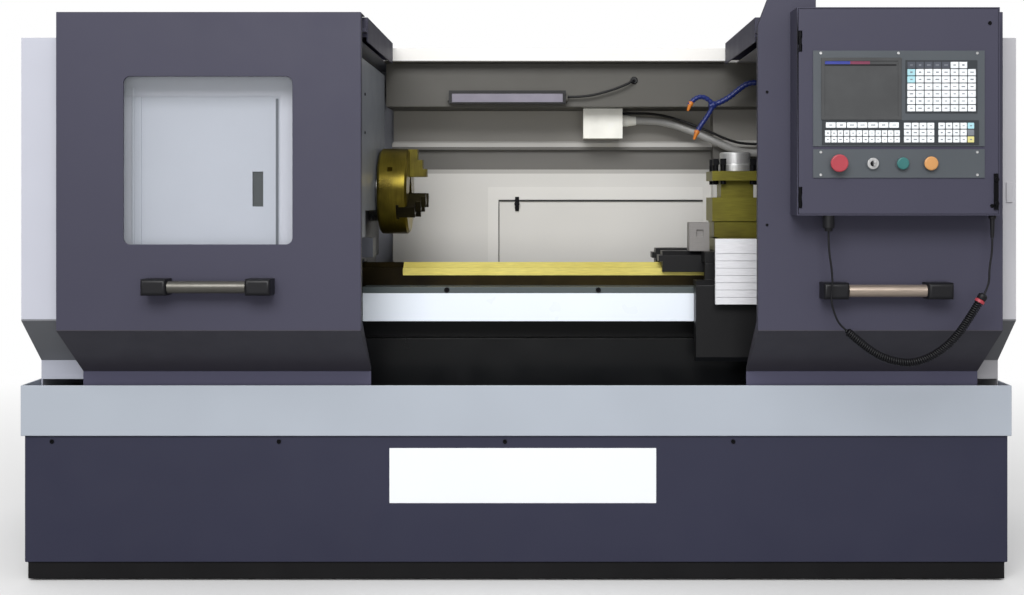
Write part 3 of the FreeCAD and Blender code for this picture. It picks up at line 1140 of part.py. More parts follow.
def cable_routes():
    """The conduit and the two thin cables on the rear enclosure, from their real places."""
    block = size("clamp_left")
    return {
        "conduit": ([(size("box_right") + size("nut_thick") + size("sleeve_long"), 300, 1222),
                     (396, 300, 1222), (441, 295, 1216), (487, 287, 1203),
                     (533, 277, 1185), (579, 268, 1163), (626, 262, 1140), (672, 262, 1123),
                     (block, 262, 1123)], size("conduit_radius")),
        "signal": ([(size("box_right"), 285, 1244), (343, 285, 1244), (386, 279, 1243), (431, 270, 1237),
                    (478, 260, 1223), (526, 251, 1205), (575, 245, 1184), (623, 244, 1162),
                    (671, 244, 1149), (block, 244, 1149)], size("cable_radius")),
        "lamp": ([(size("lamp_right") + size("lamp_ear") + size("belt_gap"), 150, 1284), (165, 150, 1284),
                  (190, 149, 1285.5), (216, 148, 1289.5), (243, 147, 1296), (270, 147, 1304),
                  (296, 147, 1313),
                  (320, 148, 1324), (337, 152, 1334), (337, size("rear_front"), 1334)],
                 size("lamp_cable_radius")),
    }


def wall_cables():
    """The conduit, the signal cable and the lamp cable, held at both ends."""
    tubes = [shaped(bent_tube(points, radius, title)) for title, (points, radius) in cable_routes().items()]
    return name("wall_cables", group(*tubes))


def coolant_pipe():
    """The rigid coolant pipe that rises from the back of the saddle."""
    foot = slab(("pipe_x - pipe_foot", "pipe_x + pipe_foot"), ("pipe_y - pipe_foot", "pipe_y + pipe_foot"),
                ("saddle_top", "saddle_top + gib_high"))
    return name("coolant_pipe", join(foot, shaped(coolant_tube())))


def coolant_tube():
    """A quarter-bend tube: straight up from the saddle, then towards the chuck."""
    x, y, top, bend = (size(word) for word in ("pipe_x", "pipe_y", "pipe_top", "pipe_bend"))
    low = Vector(x, y, size("saddle_top") + size("gib_high") / 2)
    high = Vector(x, y, top - bend)
    out = Vector(x - bend, y, top)
    mid = Vector(x - bend + bend * math.cos(math.pi / 4), y, top - bend + bend * math.sin(math.pi / 4))
    path = Part.Wire([Part.makeLine(low, high), Part.Arc(high, mid, out).toShape(),
                      Part.makeLine(out, Vector(size("pipe_end"), y, top))])
    return swept(path, size("pipe_radius"), 12)[0]


def coolant_hose():
    """The jointed coolant hose with its two branches and nozzles."""
    fork = Vector(size("fork_x"), size("fork_y"), size("fork_z"))
    trunk = [(134, 20, 67), (108, 20, 67), (81, 17, 51), (53, 11, 27), (24, 5, 9), (-4, -1, -1)]
    upper = [(0, 0, 0), (-15, -4, 17), (-34, -9, 24), (-54, -15, 19), (-67, -21, 5), (-74, -25, -12)]
    lower = [(0, 0, 0), (-9, -3, -18), (-22, -8, -38), (-36, -14, -57), (-49, -20, -77), (-57, -24, -97)]
    shapes = []
    for steps, radius, title in ((trunk, size("trunk_radius"), "hose trunk"),
                                 (upper, size("branch_radius"), "hose branch"),
                                 (lower, size("branch_radius"), "hose branch")):
        shapes.append(bent_tube([tuple(fork + Vector(*step)) for step in steps], radius, title))
    whole = shapes[0].fuse(shapes[1:] + [Part.makeSphere(size("fork_ball"), fork)])
    return name("coolant_hose", shaped(whole.removeSplitter()))


# --- doors ------------------------------------------------------------------------------------

def door_section():
    """The bent section of a sliding door: top return, front, slant and lower strip."""
    wall = "door_sheet"
    return [("door_return", "door_top"), ("door_front", "door_top"), ("door_front", "door_skirt"),
            ("door_strip", "door_slant_low"), ("door_strip", "door_low"),
            (f"door_strip + {wall}", "door_low"),
            (f"door_strip + {wall}", f"door_slant_low + {wall} / 2"),
            (f"door_front + {wall}", f"door_skirt + {wall} / 2"),
            (f"door_front + {wall}", f"door_top - {wall}"), ("door_return", f"door_top - {wall}")]


def door_side(start):
    """The edge return of a door, following its section."""
    lip = "door_lip"
    return along_x(start, f"{start} + door_sheet", [
        ("door_front", "door_top"), ("door_front", "door_skirt"), ("door_strip", "door_slant_low"),
        ("door_strip", "door_low"), ("door_strip + door_sheet", "door_low"),
        ("door_strip + door_sheet", f"door_slant_low + {lip} / 2"),
        (f"door_front + {lip}", f"door_skirt + {lip}"),
        (f"door_front + {lip}", "door_top")])


def hanger(start):
    """The shoe that carries a door on its hood rail."""
    drop = slab((start, f"{start} + shoe_long"), ("hanger_rail_front + 2",
                                                  "hanger_rail_front + hanger_rail_deep - 2"),
                ("door_top - door_sheet - shoe_high", "door_top - door_sheet"))
    return drop


def left_door():
    """The left sliding door: bent sheet with a rounded window and its inner frame."""
    skin = along_x("left_door_left", "left_door_right", door_section())
    opening = rounded(along_y("door_front - door_sheet", "door_front + 3 * door_sheet", [
        ("window_left", "window_low"), ("window_right", "window_low"), ("window_right", "window_top"),
        ("window_left", "window_top")]), "window_corner", runs_along("y"))
    frame = slab(("window_left - frame_wide", "window_right + frame_wide"),
                 ("door_front + door_sheet", "door_front + 2 * door_sheet"),
                 ("window_low - frame_wide", "window_top + frame_wide"))
    return name("left_door", cut(join(skin, door_side("left_door_left"),
                                      door_side("left_door_right - door_sheet"),
                                      frame, hanger("left_door_left + door_lip")), opening))


def left_window():
    """The clear pane behind the window of the left door."""
    pane = rounded(along_y("door_front + 2 * door_sheet", "door_front + 2 * door_sheet + glass_thick", [
        ("window_left - frame_wide", "window_low - frame_wide"),
        ("window_right + frame_wide", "window_low - frame_wide"),
        ("window_right + frame_wide", "window_top + frame_wide"),
        ("window_left - frame_wide", "window_top + frame_wide")]),
        "window_corner", runs_along("y"))
    return name("left_window", pane)


def door_handle(label, x, z):
    """A tubular pull handle: a tube held between two rounded feet."""
    feet = []
    for start in (f"{x} - handle_half", f"{x} + handle_half - handle_foot_long"):
        foot = prism("YZ_Plane", start, [
            ("door_front", f"{z} - handle_foot_half"), ("door_front", f"{z} + handle_foot_half"),
            ("door_front - handle_reach - handle_foot_half", f"{z} + handle_foot_half"),
            ("door_front - handle_reach - handle_foot_half", f"{z} - handle_foot_half")], "handle_foot_long")
        feet.append(rounded(foot, "handle_foot_round", front_edges()))
    tube = rod("x", (f"{x} - handle_half + handle_foot_long", "door_front - handle_reach", z),
               "handle_radius",
               "2 * (handle_half - handle_foot_long)")
    return name(label, group(feet[0], tube, feet[1]))


def front_edges():
    """A test for the edges of a handle foot that face the operator."""
    line = size("door_front") - size("handle_reach") - size("handle_foot_half") + 0.01

    def test(edge):
        return edge.BoundBox.YMax < line
    return test


def right_door():
    """The right sliding door, with a chamfered corner and a raised post at its inner edge."""
    skin = along_x("right_door_left", "right_door_right", door_section())
    corner = along_y("door_front - 1", "door_return", [
        ("right_door_left", "post_slope"), ("post_left", "door_top"), ("post_left", "door_top + 1"),
        ("right_door_left", "door_top + 1")])
    post = along_y("door_front", "door_front + door_lip", [
        ("right_door_left", "post_slope - door_lip"), ("post_right", "post_slope - door_lip"),
        ("post_right", "post_top"), ("post_left", "post_top"), ("right_door_left", "post_slope")])
    return name("right_door", join(cut(join(skin, door_side("right_door_left")), corner), post,
                                   door_side("right_door_right - door_sheet"),
                                   hanger("right_door_right - door_lip - shoe_long")))


# --- control box and its hinged front ------------------------------------------------------------

def hinge_spans():
    """The heights of the two box hinges: low edge and high edge of each."""
    return [(low, f"({low} + hinge_long)") for low in ("hinge_low_z", "hinge_top_z")]


def hinge_centre():
    """The line of the hinge pins, flush with the front of the box."""
    return "lid_hinge_x", "control_front"


def control_box():
    """The open-fronted control box on the right door, with its fixed hinge knuckles and pins."""
    wall = "control_sheet"
    shell = slab(("control_left", "control_right"), ("control_front", "door_front"),
                 ("control_low", "control_top"))
    room = slab((f"control_left + {wall}", f"control_right - {wall}"),
                ("control_front", f"door_front - {wall}"),
                (f"control_low + {wall}", f"control_top - {wall}"))
    x, y = hinge_centre()
    fixed = []
    for low, high in hinge_spans():
        for start in (low, f"{high} - knuckle_share"):
            fixed.append(rod("z", (x, y, start), "knuckle_radius", "knuckle_share"))
            fixed.append(slab(("control_left", x), (y, f"{y} + knuckle_radius"),
                              (start, f"{start} + knuckle_share")))
        fixed.append(rod("z", (x, y, low), "hinge_pin", "hinge_long"))
    socket = turned([("0", "0"), ("control_low - socket_low", "0"),
                     ("control_low - socket_low", "socket_radius"),
                     ("8", "socket_radius"), ("8", "socket_radius - 4"), ("0", "socket_radius - 5")],
                    ("lead_x", "cord_y", "socket_low"), "z")
    return name("control_box", join(cut(shell, room), *fixed, socket))


def control_lid():
    """The inset front of the control box, with its two plates and the button bezels."""
    x, y = hinge_centre()
    gap = "(control_sheet + lid_gap)"
    leaf = slab((f"control_left + {gap}", f"control_right - {gap}"),
                ("control_front", "control_front + control_sheet"),
                (f"control_low + {gap}", f"control_top - {gap}"))
    notches = [slab((f"control_left + {gap}", f"{x} + knuckle_radius + lid_gap"),
                    ("control_front", "control_front + control_sheet"),
                    (f"{low} - lid_gap", f"{high} + lid_gap")) for low, high in hinge_spans()]
    knuckles = []
    bores = []
    for low, high in hinge_spans():
        inner = f"{low} + knuckle_share + knuckle_gap"
        long = "hinge_long - 2 * knuckle_share - 2 * knuckle_gap"
        knuckles.append(rod("z", (x, y, inner), "knuckle_radius", long))
        knuckles.append(slab((x, f"{x} + 3 * knuckle_radius"),
                             ("control_front", "control_front + control_sheet"),
                             (inner, f"{inner} + {long}")))
        bores.append(rod("z", (x, y, inner), "hinge_pin + hinge_fit", long))
    front = "(control_front - plate_thick)"
    plates = [slab(("plate_left", "plate_right"), (front, "control_front"), ("plate_low", "plate_high")),
              slab(("plate_left", "plate_right"), (front, "control_front"),
                   ("button_plate_low", "button_plate_high"))]
    bezels = [rod("y", (spot, f"{front} - 3", "button_z"), f"{radius} + 2", "3")
              for spot, radius in (("estop_x", "button_stem"), ("key_x", "key_radius - 2"),
                                   ("start_x", "start_radius"), ("stop_x", "stop_radius"))]
    holes = [rod("y", (spot, f"{front} - 3", "button_z"), f"{radius} + button_fit", "3 * plate_thick")
             for spot, radius in (("estop_x", "button_stem"), ("key_x", "plug_radius"),
                                  ("start_x", "button_stem"), ("stop_x", "button_stem"))]
    holes.append(rod("y", ("panel_latch_x", "control_front", "panel_latch_z"), "panel_latch_pin + hinge_fit",
                     "control_sheet"))
    return name("control_lid", cut(join(cut(leaf, *notches), *knuckles, *plates, *bezels), *holes, *bores))


def screen():
    """The framed screen on the upper plate."""
    front = "control_front - plate_thick"
    frame = slab(("screen_left - 8", "screen_right + 8"), (f"{front} - 2 * pad_thick", front),
                 ("screen_low - 8", "screen_high + 8"))
    glass = slab(("screen_left", "screen_right"), (f"{front} - 2 * pad_thick", f"{front} - pad_thick"),
                 ("screen_low", "screen_high"))
    return name("screen", cut(frame, glass))


def key_grid(left, right, low, high, columns, rows):
    """Raised keys in even columns and rows on a pad."""
    front = "(control_front - plate_thick - pad_thick)"
    keys = []
    for column in range(columns):
        for row in range(rows):
            wide = f"(({right}) - ({left})) / {columns}"
            tall = f"(({high}) - ({low})) / {rows}"
            keys.append(slab((f"{left} + {wide} * {column} + key_gap",
                              f"{left} + {wide} * {column + 1} - key_gap"),
                             (f"{front} - key_rise", front),
                             (f"{low} + {tall} * {row} + key_gap", f"{low} + {tall} * {row + 1} - key_gap")))
    return keys


def keypads():
    """The keypad beside the screen and the long key strip below it."""
    front = "(control_front - plate_thick)"
    pad = slab(("keys_left", "keys_right"), (f"{front} - pad_thick", front), ("keys_low", "keys_high"))
    strip = slab(("strip_left", "strip_right"), (f"{front} - pad_thick", front), ("strip_low", "strip_top"))
    keys = key_grid("keys_left + 3", "keys_right - 3", "keys_low + 3", "keys_high - 3", 8, 7)
    top_row = key_grid("strip_left + 8", "strip_left + 184", "strip_low + 40", "strip_top - 4", 7, 1)
    wide_rows = key_grid("strip_left + 6", "strip_left + 186", "strip_low + 5", "strip_low + 36", 12, 2)
    middle = key_grid("strip_left + 194", "strip_left + 268", "strip_low + 5", "strip_top - 5", 4, 3)
    right = key_grid("strip_left + 276", "strip_right - 6", "strip_low + 5", "strip_top - 5", 5, 3)
    return name("keypads", group(join(pad, *keys), join(strip, *top_row, *wide_rows, *middle, *right)))


def push_button(label, spot, radius, front, deep):
    """A button: a turned cap on a stem that runs in the lid's hole."""
    back = "control_front + 2 * control_sheet"
    return name(label, turned([
        (front, "0"), (back, "0"), (back, "button_stem"), (f"{front} + {deep}", "button_stem"),
        (f"{front} + {deep}", f"{radius} * 0.86"), (f"{front} + 4", radius), (f"{front} + 2", radius),
        (front, f"{radius} - 3")], (spot, "0", "button_z"), "y"))


def key_switch():
    """The key switch's turning plug with its hanging key."""
    plug = rod("y", ("key_x", "control_front - plate_thick - 5", "button_z"), "plug_radius",
               "2 * control_sheet + plate_thick + 5")
    collar = rod("y", ("key_x", "control_front - plate_thick - 6", "button_z"), "key_radius - 3", "2.7")
    blade = slab(("key_x - key_thick / 2", "key_x + key_thick / 2"),
                 ("control_front - plate_thick - 6 - key_reach", "control_front - plate_thick - 6"),
                 ("button_z - 4", "button_z + 4"))
    bow = slab(("key_x - key_thick / 2", "key_x + key_thick / 2"),
               ("control_front - plate_thick - 6 - key_reach - key_wide",
                "control_front - plate_thick - 6 - key_reach"),
               ("button_z - key_wide / 2", "button_z + key_wide / 2"))
    return name("key_switch", join(plug, collar, blade, bow))


def panel_latch():
    """The turn latch at the free edge of the control box front, with its two knobs."""
    bar = slab(("panel_latch_x - panel_latch_wide / 2", "panel_latch_x + panel_latch_wide / 2"),
               ("control_front - belt_gap - panel_latch_thick", "control_front - belt_gap"),
               ("panel_latch_z - panel_latch_long / 2", "panel_latch_z + panel_latch_long / 2"))
    pin = rod("y", ("panel_latch_x", "control_front - panel_latch_thick", "panel_latch_z"), "panel_latch_pin",
              "panel_latch_thick + 2 * control_sheet")
    knobs = [rod("y", ("panel_latch_x", "control_front - 2 * panel_latch_thick - belt_gap",
                       f"panel_latch_z + ({way}) * panel_latch_long / 3"),
                 "panel_latch_wide / 2", "panel_latch_thick")
             for way in (-1, 1)]
    return name("panel_latch", join(bar, pin, *knobs))


# --- curly cord ------------------------------------------------------------------------------------

COIL_LINE = [(794, -607, 670), (838, -607, 631), (881, -607, 603), (938, -607, 589), (981, -607, 597),
             (1023, -607, 620), (1060, -607, 654), (1091, -607, 699), (1117, -607, 742)]
LEAD_IN = [(SIZES["lead_x"], -607, 906), (SIZES["lead_x"], -607, 872), (757, -608, 838), (762, -608, 804),
           (762, -608, 770),
           (759, -607, 739), (766, -607, 712)]
LEAD_OUT = [(1138, -607, 786), (1138, -606, 808), (1141, -605, 832), (1146, -604, 858), (1146, -604, 890)]
LEAD_RUN = 18


def coil_core(points):
    """The smooth middle line of the curly stretch, as one curve through its points."""
    line = Part.BSplineCurve()
    line.interpolate([Vector(*point) for point in points])
    return line


def coil_ends():
    """Where the curly stretch starts and stops, with the way it runs there."""
    core = coil_core(COIL_LINE)
    straight = 2 * size("coil_wire")
    ends = []
    for at, outward in ((core.FirstParameter, -1), (core.LastParameter, 1)):
        way = Vector(*core.tangent(at)[0])
        ends.append((core.value(at) + way * outward * straight, way))
    return ends


def cord_coil():
    """The curly stretch of the cord: one unbroken helix about its hanging middle line."""
    core = coil_core(COIL_LINE)
    total = core.length()
    curls = int(size("coil_curls"))
    wire = size("coil_wire")
    full = size("coil_radius") - wire
    steps = curls * 2

    def spot(step):
        at = core.parameterAtDistance(total * min(1.0, step / steps), core.FirstParameter)
        way = Vector(*core.tangent(at)[0])
        out = Vector(0, 1, 0)
        side = way.cross(out)
        turn = math.pi * step
        opening = min(1.0, step / 2, (steps - step) / 2)
        reach = full * opening ** 2 * (3 - 2 * opening)
        growth = full * 3 * opening * (1 - opening) * (1 if step < curls else -1)
        radial = out * math.cos(turn) + side * math.sin(turn)
        around = (side * math.cos(turn) - out * math.sin(turn)) * reach * math.pi
        return core.value(at) + radial * reach, (around + radial * growth + way * total / steps).normalize()

    (start, start_way), (stop, stop_way) = coil_ends()
    points = [spot(step) for step in range(steps + 1)]
    edges = [Part.LineSegment(start, points[0][0]).toShape()]
    for (one, way_one), (two, way_two) in zip(points, points[1:]):
        span = two - one
        lean = way_one.dot(way_two)
        across = span.dot(way_one + way_two)
        reach_out = (-across + math.sqrt(across ** 2 + 2 * (1 - lean) * span.dot(span))) / (2 * (1 - lean))
        near = one + way_one * reach_out
        far = two - way_two * reach_out
        middle = (near + far) / 2
        for first, handle, last in ((one, near, middle), (middle, far, two)):
            legs = (first - handle) + (last - handle)
            legs.normalize()
            half = (first - handle).getAngle(last - handle) / 2
            leg = (first - handle).Length
            radius = leg * math.tan(half)
            mid = handle + legs * (leg / math.cos(half) - radius)
            edges.append(Part.Arc(first, mid, last).toShape())
    edges.append(Part.LineSegment(points[-1][0], stop).toShape())
    path = Part.Wire(edges)
    tube, expected = swept(path, wire, 4)
    samples = [spot(step / 8)[0] for step in range(8 * steps)]
    least = min((samples[i] - samples[j]).Length for i in range(len(samples))
                for j in range(i + 12, min(len(samples), i + 24)))
    print(f"cord coil: wire {path.Length:.0f} mm on a line of {total:.0f} mm, volume ratio",
          f"{tube.Volume / expected:.4f}, least gap {least - 2 * wire:.2f} mm")
    return name("cord_coil", shaped(tube))


def cord_leads():
    """The two plain leads that run straight into the ends of the curly stretch."""
    (start, start_way), (stop, stop_way) = coil_ends()
    routes = (LEAD_IN + [start - start_way * LEAD_RUN, start], [stop, stop + stop_way * LEAD_RUN] + LEAD_OUT)
    leads = [shaped(bent_tube(points, size("lead_radius"), "cord lead")) for points in routes]
    return name("cord_leads", group(*leads))


def cord_fittings():
    """The strain relief under the box where the cord goes back in."""
    relief = turned([("0", "0"), ("control_low - relief_low", "0"),
                     ("control_low - relief_low", "relief_radius + 3"),
                     ("control_low - relief_low - 8", "relief_radius + 3"),
                     ("control_low - relief_low - 8", "relief_radius"), ("0", "lead_radius + 1.5")],
                    ("relief_x", "relief_y", "relief_low"), "z")
    return name("cord_fittings", relief)


# --- the whole machine -------------------------------------------------------------------------------

base_cabinet()
levelling_feet()
chip_tray()
bed()
screw_cover()
headstock()
spindle()
motor_pulley()
main_motor()
drive_belt()
chuck_body()
for jaw_label, jaw_angle in jaw_angles().items():
    chuck_jaw(jaw_label, jaw_angle)
z_screw()
z_motor()
saddle()
x_screw()
apron()
limit_switch_box()
cross_slide()
turret_base()
turret_head()
clamp_bolts()
turret_cap()
slat_cover()
tailstock()
tailstock_quill()
tailstock_handwheel()
left_guard()
service_door()
right_guard()
side_hoods()
spindle_guard()
rear_wall()
access_panel()
access_latch()
lamp_housing()
lamp_diffuser()
junction_box()
wall_cables()
coolant_pipe()
coolant_hose()
left_door()
left_window()
door_handle("left_handle", "left_handle_x", "left_handle_z")
right_door()
door_handle("right_handle", "right_handle_x", "right_handle_z")
control_box()
control_lid()
screen()
keypads()
push_button("estop_button", "estop_x", "estop_radius", "estop_front", "estop_head")
push_button("start_button", "start_x", "start_radius", "cap_front", "cap_deep")
push_button("stop_button", "stop_x", "stop_radius", "cap_front", "cap_deep")
key_switch()
panel_latch()
cord_coil()
cord_leads()
cord_fittings()

doc.recompute()
faults = [item.Name for item in doc.Objects if {"Invalid", "Error"} & set(item.State)]
if faults:
    raise RuntimeError(f"features failed: {faults}")
for item in finished:
    if item.Shape.isNull() or not item.Shape.isValid() or not item.Shape.Solids:
        raise RuntimeError(f"no valid solid: {item.Label}")
for item in finished:
    item.Shape.exportStep(f"parts/{item.Label}.step")
box = Part.makeCompound([item.Shape for item in finished]).BoundBox
print(f"{len(finished)} parts, box {box.XMin:.1f} {box.XMax:.1f} {box.YMin:.1f} {box.YMax:.1f}",
      f"{box.ZMin:.1f} {box.ZMax:.1f}")
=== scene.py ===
"""Finishes, fittings and cords of a flat-bed turning lathe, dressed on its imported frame.

+X runs from the chuck to the tailstock, +Y from the operator to the back, +Z up. Sizes are in
metres. The patterns of the finishes and the routes of the cords are in millimetres.
"""

import json
import logging
import math
from dataclasses import dataclass
from enum import Enum
from typing import Any, Iterable, Sequence

import bmesh
import bpy
from mathutils import Matrix, Vector

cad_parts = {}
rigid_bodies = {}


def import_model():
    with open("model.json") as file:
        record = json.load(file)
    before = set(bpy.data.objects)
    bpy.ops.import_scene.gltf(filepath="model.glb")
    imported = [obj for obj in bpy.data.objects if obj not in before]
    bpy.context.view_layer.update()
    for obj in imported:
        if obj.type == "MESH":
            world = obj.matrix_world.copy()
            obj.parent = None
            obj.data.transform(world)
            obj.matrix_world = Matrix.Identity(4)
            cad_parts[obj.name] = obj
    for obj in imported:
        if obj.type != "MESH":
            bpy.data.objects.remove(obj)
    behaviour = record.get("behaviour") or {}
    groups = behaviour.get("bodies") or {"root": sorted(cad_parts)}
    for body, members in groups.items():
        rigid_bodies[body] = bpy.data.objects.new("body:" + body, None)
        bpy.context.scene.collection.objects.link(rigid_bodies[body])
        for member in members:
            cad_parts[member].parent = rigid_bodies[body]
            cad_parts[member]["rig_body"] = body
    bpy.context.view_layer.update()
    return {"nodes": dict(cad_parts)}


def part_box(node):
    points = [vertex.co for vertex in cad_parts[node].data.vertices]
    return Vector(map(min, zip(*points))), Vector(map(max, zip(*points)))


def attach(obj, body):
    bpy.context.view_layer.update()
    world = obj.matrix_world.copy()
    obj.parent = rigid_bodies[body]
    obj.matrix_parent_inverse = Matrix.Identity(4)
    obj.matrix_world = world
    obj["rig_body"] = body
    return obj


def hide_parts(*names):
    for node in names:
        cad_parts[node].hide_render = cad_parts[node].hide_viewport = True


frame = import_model()

log = logging.getLogger("lathe")
Pair = tuple[float, float]
Point = tuple[float, float, float]
Box = tuple[Point, Point]
Tree = bpy.types.NodeTree
Node = bpy.types.Node
Socket = bpy.types.NodeSocket
Object = bpy.types.Object

# The frame's meshes are loose triangles. Corners this close are one corner, and triangles this
# nearly level with each other are one flat.
WELD = 2e-6
FLAT_ANGLE = math.radians(0.4)
# How close a corner lies to a seam to count as on it.
SEAM_SLACK = 1e-6
# Edges sharper than this stay sharp in the shading.
CREASE_ANGLE = math.radians(32)
# Edges sharper than this are broken.
BROKEN_ANGLE = math.radians(40)
# How far the shading leans on large flats, from 1 to 100.
FLAT_WEIGHT = 100
# A plate's broken edge takes at most this share of its thickness.
THIN_SHARE = 0.4
# A face whose normal has a Y under this looks to the operator.
TO_OPERATOR = -0.3
# A distance past every piece of the machine.
FAR = 2.0
# The ways to the operator and to the back.
FORWARD = (0.0, -1.0, 0.0)
BACKWARD = (0.0, 1.0, 0.0)


class Run(Enum):
    """The way that grinding or turning marks run on a piece, as factors on X, Y and Z."""

    ALONG_BED = (0.06, 1.0, 1.0)
    UPRIGHT = (1.0, 1.0, 0.06)
    ROUND_SPINDLE = (1.0, 0.04, 0.04)


class Facing(Enum):
    """The turn that makes an upright fitting look to the operator or to the right."""

    FRONT = (math.pi / 2, 0.0, 0.0)
    RIGHT = (0.0, math.pi / 2, 0.0)


class Stiffness(Enum):
    """How readily a cord bends."""

    STIFF = "stiff"
    MEDIUM = "medium"
    LIMP = "limp"


class Head(Enum):
    """The radius and height of the screw heads of each place."""

    CABINET = (0.0055, 0.003)
    SCREW_COVER = (0.007, 0.004)
    SPINDLE_GUARD = (0.004, 0.002)
    DOOR = (0.0035, 0.0015)
    CONTROL_PLATE = (0.0031, 0.0015)
    CONTROL_LID = (0.0045, 0.002)


# --- node helpers ----------------------------------------------------------------------------


def linear(colour: str) -> tuple[float, float, float, float]:
    """Turn an sRGB hex colour into the linear values that shaders use.

    Args:
        colour: six hex digits after a hash sign.

    Returns:
        Linear red, green and blue with an alpha of one.
    """
    parts = [int(colour[i:i + 2], 16) / 255 for i in (1, 3, 5)]
    return (*[c / 12.92 if c <= 0.04045 else ((c + 0.055) / 1.055) ** 2.4 for c in parts], 1.0)


def add(tree: Tree, kind: str, inputs: dict[Any, Any] | None = None, **settings: Any) -> Node:
    """Add one node with its settings, values and links.

    Args:
        tree: the tree that takes the node.
        kind: the node's type name.
        inputs: input name or number to a value, a socket, or a list of sockets.
        settings: the node's own properties.

    Returns:
        The new node.
    """
    node = tree.nodes.new(kind)
    for key, value in settings.items():
        setattr(node, key, value)
    for key, value in (inputs or {}).items():
        for one in value if isinstance(value, list) else [value]:
            if isinstance(one, Socket):
                tree.links.new(one, node.inputs[key])
            else:
                node.inputs[key].default_value = one
    return node


def lumps(spot: Socket, size: float, detail: float = 2.0) -> dict[str, Any]:
    """The inputs of a noise whose lumps lie about size millimetres apart, with finer octaves on them."""
    return {"Vector": spot, "Scale": 1000 / size, "Detail": detail}


@dataclass(frozen=True)
class Swing:
    """A property that follows a pattern: low where the pattern is at start, high where it is at stop."""

    pattern: Socket
    low: float
    high: float
    start: float = 0.3
    stop: float = 0.7

    def inputs(self) -> dict[str, Any]:
        """The same, as the inputs of a node that maps one range onto another."""
        return {"Value": self.pattern, "From Min": self.start, "From Max": self.stop, "To Min": self.low,
                "To Max": self.high}


# --- finishes --------------------------------------------------------------------------------


@dataclass(frozen=True)
class Finish:
    """One finish of the machine. Its material is made once and then shared."""

    name: str
    colour: str
    slot: str
    roughness: float = 0.5
    metallic: float = 0.0
    ior: float = 1.5

    def material(self) -> bpy.types.Material:
        """Make the material, or find it if it is there already.

        Returns:
            The one material of this finish.
        """
        known = bpy.data.materials.get(self.name)
        if known is not None:
            return known
        material = bpy.data.materials.new(self.name)
        material.use_nodes = True
        tree = material.node_tree
        tree.nodes.clear()
        shader = add(tree, "ShaderNodeBsdfPrincipled",
                     {"Base Color": linear(self.colour), "Metallic": self.metallic,
                      "Roughness": self.roughness})
        if not self.metallic:
            shader.inputs["IOR"].default_value = self.ior
        add(tree, "ShaderNodeOutputMaterial", {"Surface": shader.outputs[0]})
        self.dress(tree, shader, add(tree, "ShaderNodeTexCoord").outputs["Object"])
        return material

    def dress(self, tree: Tree, shader: Node, spot: Socket) -> None:
        """Give the shader this finish's own pattern. The plain finish has none."""

    def surface(self, tree: Tree, shader: Node, colour: Any, tone: Swing, height: Socket, depth: float,
                gloss: Swing | None = None) -> None:
        """Shade a colour by one pattern, raise the surface by another and let the gloss follow a third.

        Args:
            tree: the material's tree.
            shader: its shader.
            colour: the colour, as a value or a socket.
            tone: what the colour is multiplied by.
            height: the pattern that raises the surface.
            depth: how far it does so, in millimetres.
            gloss: the roughness, where it isn't even.
        """
        shade = add(tree, "ShaderNodeMapRange", tone.inputs()).outputs[0]
        mixed = add(tree, "ShaderNodeMix", {0: 1.0, 6: colour, 7: shade}, data_type="RGBA",
                    blend_type="MULTIPLY")
        tree.links.new(mixed.outputs[2], shader.inputs["Base Color"])
        if gloss is not None:
            rough = add(tree, "ShaderNodeMapRange", gloss.inputs())
            tree.links.new(rough.outputs[0], shader.inputs["Roughness"])
        bump = add(tree, "ShaderNodeBump", {"Height": height, "Distance": depth / 1000, "Strength": 1.0})
        tree.links.new(bump.outputs[0], shader.inputs["Normal"])


@dataclass(frozen=True)
class PowderCoat(Finish):
    """Baked polyester powder on sheet steel: satin, with a faint orange peel and an even tone.

    The real peel is about 2 mm; it is drawn at 7 mm, so that it shows from across the room. The
    drift is the slow change of tone over a panel, and the gloss drifts over shorter spans. Bands are
    (height from which a paint starts, its colour), for a piece in more than one paint or with parts
    that lie in shade. They reach up to the height band_span, in metres.
    """

    bands: tuple[tuple[float, str], ...] = ()
    peel: float = 7.0
    peel_depth: float = 0.06
    drift: float = 350.0
    drift_share: float = 0.035
    gloss_drift: float = 87.5
    gloss_share: float = 0.05
    band_span: float = 1.6

    def dress(self, tree: Tree, shader: Node, spot: Socket) -> None:
        """Lay on the paint's tone drift, its bands and its peel.

        Args:
            tree: the material's tree.
            shader: its shader.
            spot: the place on the piece.
        """
        colour: Any = linear(self.colour)
        if self.bands:
            height = add(tree, "ShaderNodeSeparateXYZ", {0: spot}).outputs[2]
            share = add(tree, "ShaderNodeMath", {0: height, 1: self.band_span}, operation="DIVIDE")
            ramp = add(tree, "ShaderNodeValToRGB", {"Fac": share.outputs[0]})
            ramp.color_ramp.interpolation = "CONSTANT"
            stops = ramp.color_ramp.elements
            stops[0].color = linear(self.colour)
            stops.remove(stops[1])
            for start, paint in self.bands:
                stops.new(start / self.band_span).color = linear(paint)
            colour = ramp.outputs[0]
        slow = add(tree, "ShaderNodeTexNoise", lumps(spot, self.drift)).outputs[0]
        quick = add(tree, "ShaderNodeTexNoise", lumps(spot, self.gloss_drift)).outputs[0]
        peel = add(tree, "ShaderNodeTexNoise", lumps(spot, self.peel, detail=1.0)).outputs[0]
        self.surface(tree, shader, colour, Swing(slow, 1 - self.drift_share, 1 + self.drift_share), peel,
                     self.peel_depth, Swing(quick, self.roughness - self.gloss_share,
                                            self.roughness + self.gloss_share))


